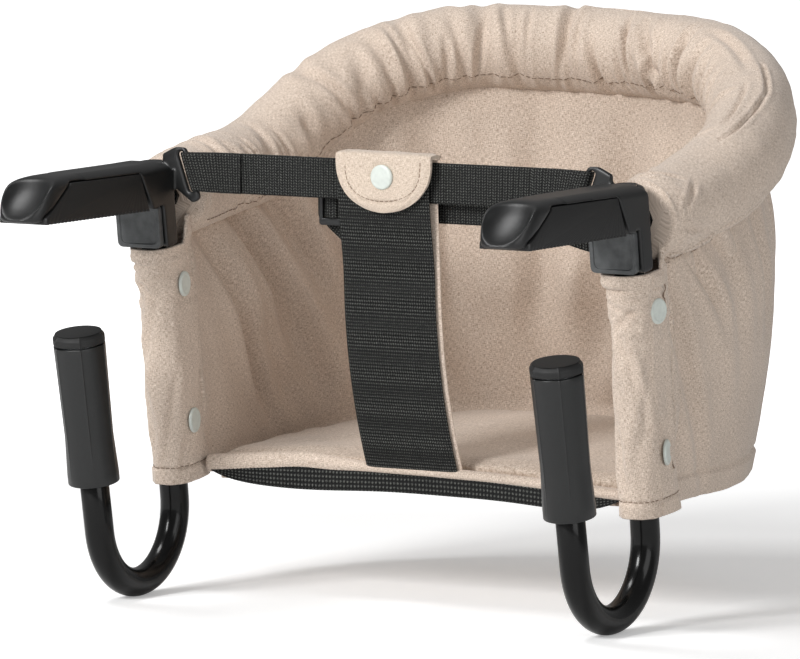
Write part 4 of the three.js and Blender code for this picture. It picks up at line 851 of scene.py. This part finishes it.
for side, word in SIDES:
    level = np.linspace(-sleeve_top, -sleeve_foot, sleeve_rows)
    turn, z = np.meshgrid(np.linspace(0, 2 * math.pi, sleeve_columns), level)
    sin, cos = np.sin(turn), np.cos(turn)
    collar = smooth((z + 44) / 16)
    girth_radius = sleeve_radius + 3 * collar + 1.2 * np.clip(sin, 0, None)
    lapped = smooth((-z - sleeve_lap_top + 8) / 16) * smooth((sleeve_lap_foot + z) / 20)
    behind = sleeve_reach + sleeve_lap * lapped * smooth(cos / 0.25)
    x = np.where(sin > 0, np.sign(cos) * np.abs(cos) ** 0.22 * girth_radius, cos * girth_radius)
    y = np.where(sin > 0, sin * behind, sin * girth_radius)
    z = z + 16 * smooth((sin - 0.42) / 0.2) * smooth((z + 60) / 36)
    places = np.stack([x, y, z], -1)
    arc = turn * sleeve_mean_radius
    relief = 1.4 * noise(arc, z, 20, 34, 51 + side)
    relief += 0.6 * noise(arc, z, 8, 12, 57 + side)
    relief += 1.2 * noise(arc, z, 26, 5, 63 + side) * smooth((z + 85) / 40)
    relief += 1.5 * creases(arc, z, [
        (75, -60, 90, -95, 1.1, 4), (100, -90, 84, -150, 1, 4.5), (62, -110, 78, -165, 1, 4),
        (20, -60, 34, -120, 1, 5), (92, -45, 74, -58, 0.9, 2.5), (50, -140, 64, -172, 0.9, 3.5),
        (70, -44, 96, -50, 0.7, 2)])
    for drop in stud_drops.values():
        relief *= 1 - ridge((y - stud_setback) ** 2 + (z + drop) ** 2, 90)
    relief -= 0.8 * ridge(z + sleeve_foot - sleeve_hem, 1.1)
    relief -= 1.3 * ridge(z + sleeve_seam, 1.1) * smooth((24 - y) / 4)
    lap_edge = lap_place - 5 * smooth((-z - 120) / 30) - 7 * smooth((z + 54) / 16)
    open_lap = smooth((-z - 38) / 6) * smooth((z + 152) / 8) * (cos > 0)
    relief -= 2.0 * open_lap * ridge(y - lap_edge, 0.8)
    relief += 0.9 * open_lap * smooth((lap_edge - y) / 1.2) * smooth((y - lap_edge + 9) / 8)
    relief += 0.6 * smooth((sleeve_hem - sleeve_foot - z) / 2)
    relief[:, -1] = relief[:, 0]
    normal = facing(np.concatenate([places[:, -3:-1], places, places[:, 1:3]], axis=1))[:, 2:-2]
    places = places - relief[..., None] * normal
    ends = [row * (shrink, shrink, 1) + (0, 0, lift) for row, shrink, lift in (
        (places[:1], 0.84, -8), (places[:1], 0.9, 0.4), (places[-1:], 0.86, 0.6), (places[-1:], 0.84, 8))]
    places = np.concatenate([*ends[:2], places, *ends[2:]])
    hem_line = places[2 + int(np.argmin(np.abs(level + sleeve_foot - sleeve_hem)))]
    rows = np.flatnonzero((level < -40) & (level > -150))
    columns = [int(np.argmin(np.abs(y[i] - lap_edge[i]) + 99 * (cos[i] < 0))) for i in rows]
    lap_line = places[rows + 2, columns] + (1.5, 0, 0)
    places, hem_line, lap_line = (
        moved(line * (side, 1, 1), upright_frame(side)) for line in (places, hem_line, lap_line))
    sleeve = lay_cloth(f"{word}_leg_sleeve_cloth", np.swapaxes(places, 0, 1)[::side], beige_cloth,
                       around=True)
    stands_for(sleeve, SEAT, CLOTH, f"{word}_leg_sleeve")
    away = unit(hem_line - hem_line.mean(0))
    sewn(f"{word}_sleeve_hem_stitches", hem_line + away * 0.35, away, stitch=2.4, gap=1.2, thickness=0.5)
    # Partly real thread, partly painted shadow: a near-continuous row of dark stitches along the lap's
    # edge stands for both its overlock thread and the thin shadow under the lapped edge.
    sewn(f"{word}_sleeve_lap_thread_and_shadow_line", lap_line, np.tile((side, 0.0, 0.0), (len(lap_line), 1)),
         stitch=3.0, gap=0.3, thickness=0.8)

    for name, drop in stud_drops.items():
        for face in (1, -1):
            press_cap(
                f"{word}_{name}_stud_{'outer' if face == side else 'inner'}_cap",
                [(0, 0), (7.9, 0), (7.9, 1.1), (7.4, 1.75), (6.2, 2.0), (5.7, 1.75), (5.0, 1.7), (0, 1.8)],
                upright_frame(side) @ Matrix.Translation(
                    (face * 13.1 * MM, stud_setback * MM, -drop * MM))
                @ Matrix.Rotation(-face * stud_turn[name, face == side], 4, "Z")
                @ Matrix.Rotation(face * math.pi / 2, 4, "Y"), SEAT, f"{word}_{name}_stud")


# Seat: a stiff board in a cloth sling carries a thin foam cushion. The cushion is sewn from two panels,
# and its cover swells with the foam.
seat_front = 54
seat_drop = 168
seat_tilt = math.radians(4.5)
seat_inset = 21
front_arch = 7
fold_half = hoop_radius - seat_inset - 4
seat_matrix = (Matrix.Translation((0, seat_front * MM, -seat_drop * MM))
               @ Matrix.Rotation(seat_tilt, 4, "X"))
board_plastic = grained("polypropylene_sheet_dark", "#30302e", "#3e3e3b", pitch=1.6, depth=0.05,
                        strength=0.3, Roughness=0.6, IOR=1.49)
finished("seat_board", board_plastic)

cushion_voxel = 5
swell_limit = 3.5
# Painted shade: the cushion is the same beige melange as the rest, with its middle and pale shades painted
# darker for the shade that the arms, bolster and lining cast on the seat.
shaded_cushion_cloth = melange_cloth(
    "melange_cloth_cushion_painted_shade", "#8f7d6e", "#bfae9e", "#dfd2c6", on_object=True)
cushion = made("seat_cushion_cover", merged_copy("seat_cushion"), shaded_cushion_cloth)
remeshed(cushion, cushion_voxel)
rest = coordinates(cushion.data)
middle = (rest.min(0) + rest.max(0)) / 2
start = middle + (rest - middle) * (1.005, 1.005, 0.84)
cushion.data.vertices.foreach_set("co", start.ravel())
swell = cushion.modifiers.new("swell", "CLOTH").settings
swell.use_pressure = True
swell.uniform_pressure_force = 4
swell.effector_weights.gravity = 0
swell.quality = 6
swell.tension_stiffness = 12
swell.mass = 0.3
for moment in range(1, 21):
    scene.frame_set(moment)
swollen = baked(cushion)
move = coordinates(swollen) - start
far = np.linalg.norm(move, axis=1, keepdims=True)
move *= np.minimum(1, swell_limit * MM / np.maximum(far, 1e-9))
swollen.vertices.foreach_set("co", (start + move).ravel())
scene.frame_set(1)
bm = opened(cushion.data)
bmesh.ops.subdivide_edges(bm, edges=bm.edges[:], cuts=1, use_grid_fill=True, smooth=0.4)
inverse = seat_matrix.inverted()
for vertex in bm.verts:
    place = inverse @ vertex.co
    near = max(0, min(1, 1 - place.y / (70 * MM)))
    place.z += front_arch * MM * near ** 2 * max(0, 1 - (place.x / (fold_half * MM)) ** 2)
    side_rise = smooth((abs(place.x) / MM - 40) / 100)
    place.z += 1.2 * MM * float(noise(place.x / MM + 300, place.y / MM + 300, 60, 46, 77)) * (
        smooth((place.z / MM - 2) / 4)) * (0.5 + side_rise)
    place.y += 3.5 * MM * max(0, 1 - place.y / (14 * MM)) ** 2
    vertex.co = seat_matrix @ place
reshaped(cushion, bm)
stands_for(cushion, SEAT, CLOTH, "seat_cushion")

# Seat sling: the cloth under the board, turned up and over at the front edge, where its fold lies in
# front of the cushion like a second edge.
fold_columns, fold_rows = 150, 26
fold_depth = 46
fold_height = 3.2
fold_level = 3.4
sling_thickness = 1.4
share = np.linspace(-1, 1, fold_columns)
fold_turn = np.linspace(-0.5 * math.pi, 0.5 * math.pi, fold_rows)[:, None]
fold_x = np.repeat((share * fold_half)[None], fold_rows, 0)
wave = 0.72 * noise(fold_x, np.zeros_like(fold_x), 55, 10, 61)
fold_y = -1.6 - 4.2 * np.cos(fold_turn) + wave
fold_tall = fold_height + 2.4 * smooth((-share - 0.15) / 0.4)
fold_z = fold_level - fold_height + fold_tall * (1 + np.sin(fold_turn)) + wave
fold_z += front_arch * (1 - share ** 2)
lower, upper = (np.stack([fold_x[0], np.full(fold_columns, fold_depth), np.full(fold_columns, lip)], -1)
                for lip in (-0.2, 0.1))
places = np.concatenate([lower[None], np.stack([fold_x, fold_y, fold_z], -1), upper[None]])
sling_fold = lay_cloth("seat_sling_front_fold", moved(places, seat_matrix), beige_cloth)
thicken(sling_fold, sling_thickness)
stands_for(sling_fold, SEAT, CLOTH)
sling_bm = merged_copy("seat_sling")
layer = sling_bm.loops.layers.uv.new("cloth")
for face in sling_bm.faces:
    for loop in face.loops:
        loop[layer].uv = loop.vert.co.xy
sling = made("seat_sling_cloth", sling_bm, beige_cloth)
stands_for(sling, SEAT, CLOTH, "seat_sling")


# Black webbing: flat polypropylene tape. The waist strap and harness have upright columns of short
# dashes, and the wide crotch strap has a rib every 2.4 mm across it.
def maths(tree, operation, *values):
    """The output of a maths node."""
    return add(tree, "Math", dict(enumerate(values)), operation=operation).outputs[0]


def woven_tape(name, pitch_along, pitch_across, slant):
    """Woven polypropylene: dull black yarn in a regular twill. Its crowns are painted paler, a painted
    highlight where they would catch the light.
    """
    material, tree, shader = new_material(name, Roughness=0.6, IOR=1.49, Specular_IOR_Level=0.3)
    laid = add(tree, "UVMap", uv_map="cloth").outputs[0]
    axes = add(tree, "SeparateXYZ", {0: laid}).outputs
    along, across = (maths(tree, "MULTIPLY", axes[k], 2 * math.pi / (pitch * MM))
                     for k, pitch in enumerate((pitch_along, pitch_across)))
    lean = maths(tree, "SINE", maths(tree, "MULTIPLY", along, 0.5))
    dash = maths(tree, "COSINE", maths(tree, "MULTIPLY_ADD", lean, slant, across))
    height = maths(tree, "ADD", maths(tree, "COSINE", along), dash)
    crown = add(tree, "MapRange", {0: height, 1: -1.2, 2: 1.8, 3: 0.0, 4: 1.0}).outputs[0]
    highlight_fleck = add(tree, "TexNoise", {"Vector": laid, "Scale": 1 / (0.9 * MM), "Detail": 3.0}).outputs[0]
    # Painted highlight: a paler base colour on the weave's crowns, flecked with noise, stands for their
    # glints.
    shades(tree, shader, maths(tree, "MULTIPLY", crown, highlight_fleck), "#010101", "#6e706b", 0.24, 0.7)
    bumps(tree, shader, crown, strength=1.0, depth=0.5)
    return material


def rounded_route(points, step, radius):
    """Even points along a bent line whose corners are eased over a radius, all in millimetres."""
    points = np.asarray(points, float)
    steps = distances(points[:, :3])
    line = along_line(np.arange(0, steps[-1], step), steps, points)
    half = max(1, int(radius / step))
    kernel = np.ones(2 * half + 1) / (2 * half + 1)
    for _ in range(2):
        longer = np.concatenate([
            2 * line[:1] - line[half:0:-1], line, 2 * line[-1:] - line[-2:-half - 2:-1]])
        line = np.stack([np.convolve(column, kernel, "valid") for column in longer.T], -1)
    return line


def tape(name, route, width, thickness, material, relief, step=0.6, ease=3.0, across_count=22):
    """A flat tape along a route of (x, y, z, across x, across y, across z) rows."""
    line = rounded_route(route, step, ease)
    centre, across = line[:, :3], unit(line[:, 3:])
    normal = unit(np.cross(unit(np.gradient(centre, axis=0)), across))
    u = np.sin(np.linspace(-0.5 * math.pi, 0.5 * math.pi, across_count))
    bulge = (1 - np.abs(u) ** 8) ** 0.5
    ring_u = np.concatenate([u, u[::-1][1:]])[:, None]
    ring_n = np.concatenate([bulge, -bulge[::-1][1:]])[:, None]
    swell = relief(np.arange(len(line))[None] * step, ring_u * width / 2)
    places = (centre[None] + across[None] * (ring_u[..., None] * width / 2)
              + normal[None] * (ring_n * (thickness / 2 + swell))[..., None])
    places[-1] = places[0]
    return lay_cloth(name, places, material, around=True, caps=True)


strap_tape = woven_tape("polypropylene_webbing_narrow", 1.9, 1.7, 1.6)
wide_tape = woven_tape("polypropylene_webbing_wide", 2.4, 1.7, 1.2)
mesh_tape = woven_tape("polypropylene_mesh_band", 2.6, 2.6, 0.0)

# Front band: black woven mesh sewn under the seat's front edge from side to side
band_height = 17
band_half = 146
band_thickness = 1.4
mesh_wave = 2 * math.pi / 2.6
share = np.linspace(-1, 1, 240)[None]
down = np.linspace(0, 1, 18)[:, None]
hang = 0.9 * band_height * (1 - 0.8 * np.abs(share) ** 7) + 0.4 * np.sin(share * 9)
x = share * band_half
y = -3.4 - 0.8 * down + 0.5 * np.sin(share * 7 + 1) * down
z = 4.6 + front_arch * (1 - share ** 2) + 0.5 * np.sin(share * 6) - hang * down
places = moved(np.stack(np.broadcast_arrays(x, y, z), -1), seat_matrix)
weave = 0.22 * np.cos(x * mesh_wave) * np.cos(down * band_height * mesh_wave)
front_band = lay_cloth("seat_front_mesh_band", places[::-1], mesh_tape, weave[::-1])
thicken(front_band, band_thickness, offset=0)
stands_for(front_band, SEAT, WEBBING, "seat_front_band")


# Crotch strap: 65 mm webbing from the seat's front edge up to the waist strap, backed by a strip of
# cloth whose edge shows beside it, and closed over the waist strap by a soft flap with a press stud.
waist_setback = 17.6
waist_height = 23
waist_width = 25
web_thickness = 1.4
crotch_width = 65
crotch_thickness = 2
crotch_top = 36.5
crotch_foot = 162
crotch_foot_setback = 51
backing_width = 67
backing_thickness = 2.4
bow_height = -31
bow_share = 0.11
foot_shares = (0.2, 0.4, 0.55, 0.7, 0.8, 0.9, 1)
crotch_front = waist_setback - web_thickness - 0.9 - crotch_thickness / 2
crotch_rear = waist_setback + web_thickness + 0.9 + 0.7


def crotch_route(top, top_setback, offset):
    """The strap's line from its top edge down to the seat."""
    joined = mix(waist_setback, crotch_foot_setback, bow_share) + offset
    route = [(top_setback, top), (top_setback, waist_height - waist_width / 2), (joined, bow_height)]
    route += [(mix(joined, crotch_foot_setback + offset, s ** 2.0), mix(bow_height, -crotch_foot, s))
              for s in foot_shares]
    return [(0, y, z, 1, 0, 0) for y, z in route]


crotch_strap = tape(
    "crotch_strap_webbing", crotch_route(crotch_top, crotch_front, 0), crotch_width, crotch_thickness,
    wide_tape, lambda along, across: 0.6 * (np.abs(np.cos(math.pi * along / 2.4)) ** 0.7 - 0.5),
    step=0.4, ease=8, across_count=30)
stands_for(crotch_strap, SEAT, WEBBING, "crotch_strap")

# The backing strip is folded double, so it is soft and a little wider than the webbing below the waist
backing = tape(
    "crotch_backing_strip", [
        (1.5, *place[1:]) for place in crotch_route(crotch_top + 0.3, crotch_rear, 2.6)],
    backing_width, backing_thickness, beige_cloth,
    lambda along, across: 0.25 * noise(along, across, 18, 14, 71),
    step=1.2, ease=8)
stands_for(backing, SEAT, CLOTH, "crotch_lining")

# Flap: pale cloth over thin foam, bagged out and top-stitched 7 mm inside its edge
flap_half = 33.5
flap_shift = 2.5
flap_height = 34.5
flap_stud_height = 26
flap_seam = 7
flap_thickness = 2.6
flap_front = crotch_front - crotch_thickness / 2 - 2
flap_top = crotch_top + 2.2
pale_cloth = melange_cloth("melange_cloth_pale", "#a08e7e", "#c9b8a7", "#e0d3c6")
level = np.linspace(0, 1, 90)[:, None]
across = np.linspace(-1, 1, 80)[None]
roof_share = 0.2
drop = np.clip((level - roof_share) / (1 - roof_share), 0, 1)
round_down = np.sqrt(np.clip(1 - np.clip((drop - 0.12) / 0.885, 0, 1) ** 2.15, 0.0004, 1))
x = flap_half * round_down * across
height = flap_top - flap_height * drop
setback = mix(crotch_rear + 2.2, flap_front - 1.6, smooth(level / roof_share))
crown = 1.6 * np.sin(math.pi * np.clip(level / roof_share, 0, 1))
bow = 1.2 * (1 - across ** 2) * drop
places = np.stack(np.broadcast_arrays(x + flap_shift, setback - bow, height + crown), -1)
inner = np.minimum((1 - np.abs(across)) * flap_half * round_down, (1 - drop) * flap_height)
relief = 1.0 * smooth(inner / 5) - 0.75 * ridge(inner - flap_seam, 0.9)
relief += 0.35 * noise(x, height, 14, 12, 81)
relief -= 0.9 * np.exp(-(np.hypot(x, height - flap_stud_height) / 8.6) ** 6)
leaf = lay_cloth("strap_flap_cloth", places[:, ::-1], pale_cloth, relief[:, ::-1])
thicken(leaf, flap_thickness)
modify(leaf, "BEVEL", width=1.1 * MM, segments=3, limit_method="ANGLE", angle_limit=math.radians(50))
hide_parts("strap_flap")
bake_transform(leaf)
seam_turn = np.linspace(0, math.pi, 120)
seam_down = np.sin(seam_turn) ** 0.62
seam = np.stack([
    flap_shift + (flap_half - flap_seam) * np.cos(seam_turn),
    flap_front - 1.6 - 1.2 * seam_down * (1 - (0.8 * np.cos(seam_turn)) ** 2) - 0.35,
    flap_top - 3 - (flap_height - 10) * seam_down], -1)
sewn("strap_flap_stitches", seam, np.tile((0.0, -1.0, 0.0), (len(seam), 1)), "flap", stitch=2.2, gap=1.2,
     thickness=0.5)
press_cap(
    "flap_snap_cap", [(0, 0), (7.6, 0), (7.6, 1.2), (7.0, 1.9), (5.6, 2.15), (0, 2.25)],
    Matrix.Translation((flap_shift * MM, (flap_front - 2.4) * MM, flap_stud_height * MM))
    @ Matrix.Rotation(math.pi / 2, 4, "X"), "flap", "flap_stud_cap")


# Waist straps: each runs from the middle out through the slot in the arm's tab, round the bar and back
# on itself, where a row of stitches holds its end.
tab_setback = 13.8
tab_thickness = 3.4
tab_reach = (36.5 + 25.5) / 2
slot_margin = 3.4
slot_width = 3.6
slot_tilt = math.atan2(36.5 - 25.5, 38 - 6.5)
turned_end = 103.5


def narrow_tape(name, route, folded=0, **settings):
    """The narrow tape, with low ribs across it, folded double over a last stretch."""
    return tape(name, route, waist_width, web_thickness, strap_tape, lambda along, across: (
        0.2 * np.cos(2 * math.pi * along / 3.8)
        + 0.55 * smooth((along - along.max() + folded) / 1.5) * (folded > 0)), **settings)


for side, word in SIDES:
    layer_step = web_thickness + 0.3
    end = half_span - tab_reach + slot_margin / 2
    front = tab_setback - 0.5 - web_thickness / 2
    behind = tab_setback + tab_thickness + 0.5 + web_thickness / 2
    slot = end + slot_margin / 2 + slot_width / 2
    tilt_x, tilt_z = math.sin(slot_tilt), math.cos(slot_tilt)
    stops = [
        (0.6, waist_setback, 0), (0.5 * end, waist_setback + layer_step / 2, 0),
        (0.82 * end, waist_setback + layer_step / 2, 0.2), (end - slot_margin, behind, 1),
        (slot - slot_width / 4, behind, 1), (slot, waist_setback, 1),
        (slot - slot_width / 4, front, 1), (end - slot_margin, front, 1),
        (0.86 * end, waist_setback - layer_step, 0.3), (turned_end, waist_setback - layer_step / 2, 0)]
    route = [(side * x, y, waist_height, side * mix(0, tilt_x, turn), 0, mix(1, tilt_z, turn))
             for x, y, turn in stops]
    strap = narrow_tape(f"{word}_waist_webbing", route, folded=7, step=0.5, ease=1.6)
    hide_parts(f"{word}_waist_strap")
    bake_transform(strap)


# Harness belt: 25 mm webbing from the seat's side across behind the crotch strap to a side-release
# buckle and a three-bar slide, where its end turns back and is sewn to the strap's backing.
belt_height = 10
buckle_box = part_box("buckle_housing")
belt_setback = (buckle_box[0].y + buckle_box[1].y) / 2 / MM
right_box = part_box("harness_belt_right")
left_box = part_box("harness_belt_left")
slide_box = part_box("belt_adjuster")
belt_stops = [(0, 0), (0.4, 0), (0.6, 0.26), (0.8, 0.74), (1, 1)]
belt_start = right_box[0].x / MM
belt_end = (right_box[1].x / MM, right_box[1].y / MM - 0.7, right_box[0].z / MM + 22)
route = [(mix(belt_start, belt_end[0], s), mix(belt_setback, belt_end[1], t),
          mix(belt_height, belt_end[2], t), 0, 0, 1) for s, t in belt_stops]
belt = narrow_tape("harness_webbing_right", route, ease=5)
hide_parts("harness_belt_right")
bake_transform(belt)

slide_middle = (slide_box[0].x + slide_box[1].x) / 2 / MM
turn_place = left_box[0].x / MM + 0.7
turn_angle = math.radians(38)
behind_buckle = buckle_box[1].y / MM + 2.2
strip_lean = 0.183
strip_length = 80
turned_stops = [(0.2, 0), (0.46, 0), (0.72, 0), (0.86, 0.5), (1, 1)]
belt_place = (belt_height, 0, 0, 1)
route = [(buckle_box[0].x / MM - 0.4, belt_setback, *belt_place)]
for place, weave_side in ((7.2, 1), (2.6, -1), (-2.6, -1), (-7.2, 1)):
    route.append((slide_middle + place, belt_setback + 2.4 * weave_side, *belt_place))
route += [(turn_place, belt_setback + 2.4, *belt_place), (turn_place, behind_buckle, *belt_place)]
for s, t in turned_stops:
    route.append((
        turn_place + strip_length * s * math.cos(turn_angle), mix(behind_buckle, 29.4, t),
        belt_height - strip_length * s * math.sin(turn_angle),
        math.sin(turn_angle), -t * strip_lean * math.cos(turn_angle), math.cos(turn_angle)))
loose_end = narrow_tape("harness_webbing_left", route, ease=1.4)
stands_for(loose_end, SEAT, WEBBING, "harness_belt_left")
for node, body in (("buckle_housing", SEAT), ("buckle_clip", "clip"), ("belt_adjuster", SEAT)):
    moulding(f"{node}_moulding", node, body, "black_nylon", satin_nylon, 0.4)


# Floor and light: a white sweep under soft studio lamps. The floor keeps the object's shadow.
bm = bmesh.new()
bmesh.ops.create_grid(bm, x_segments=1, y_segments=1, size=12)
bmesh.ops.translate(bm, verts=bm.verts, vec=(0, 0, cad_box[0][2]))
floor_paper, tree, shader = new_material("floor_paper_white", Roughness=0.95, Specular_IOR_Level=0.1)
shader.inputs["Base Color"].default_value = linear("#f4f4f4")
shader.inputs["Emission Color"].default_value = (1, 1, 1, 1)
place = add(tree, "TexCoord").outputs["Object"]
away = add(tree, "VectorMath", {0: place}, operation="LENGTH").outputs["Value"]
glow = add(tree, "MapRange", {0: away, 1: 0.55, 2: 1.3, 3: 0.28, 4: 1.0}).outputs[0]
seen = maths(tree, "MULTIPLY", add(tree, "LightPath").outputs["Is Camera Ray"], glow)
tree.links.new(seen, shader.inputs["Emission Strength"])
floor = made("floor", bm, floor_paper, closed=False)

world = bpy.data.worlds.new("studio")
scene.world = world
world.use_nodes = True
tree = world.node_tree
tree.nodes.clear()
rays = add(tree, "LightPath").outputs
seen = maths(tree, "MAXIMUM", rays["Is Camera Ray"], rays["Is Transmission Ray"])
strength = add(tree, "MapRange", {0: seen, 1: 0.0, 2: 1.0, 3: 0.25, 4: 1.0})
sky = add(tree, "Background", {"Color": (1, 1, 1, 1), "Strength": strength.outputs[0]})
add(tree, "OutputWorld", {"Surface": sky.outputs[0]})

lamp_target = Vector((0, 0.1, -0.05))
for name, place, power, width in (
        ("key_box", (-0.6, -2.3, 1.2), 58, 0.8), ("over_box", (-0.95, -0.35, 2.15), 20, 0.7),
        ("fill_box", (2.3, -1.1, 0.7), 18, 1.6)):
    data = bpy.data.lights.new(name, "AREA")
    data.shape = "RECTANGLE"
    data.energy = power
    data.size = data.size_y = width
    lamp = bpy.data.objects.new(name, data)
    scene.collection.objects.link(lamp)
    lamp.location = place
    lamp.rotation_euler = (Vector(place) - lamp_target).to_track_quat("Z", "Y").to_euler()

scene.view_settings.view_transform = "Standard"
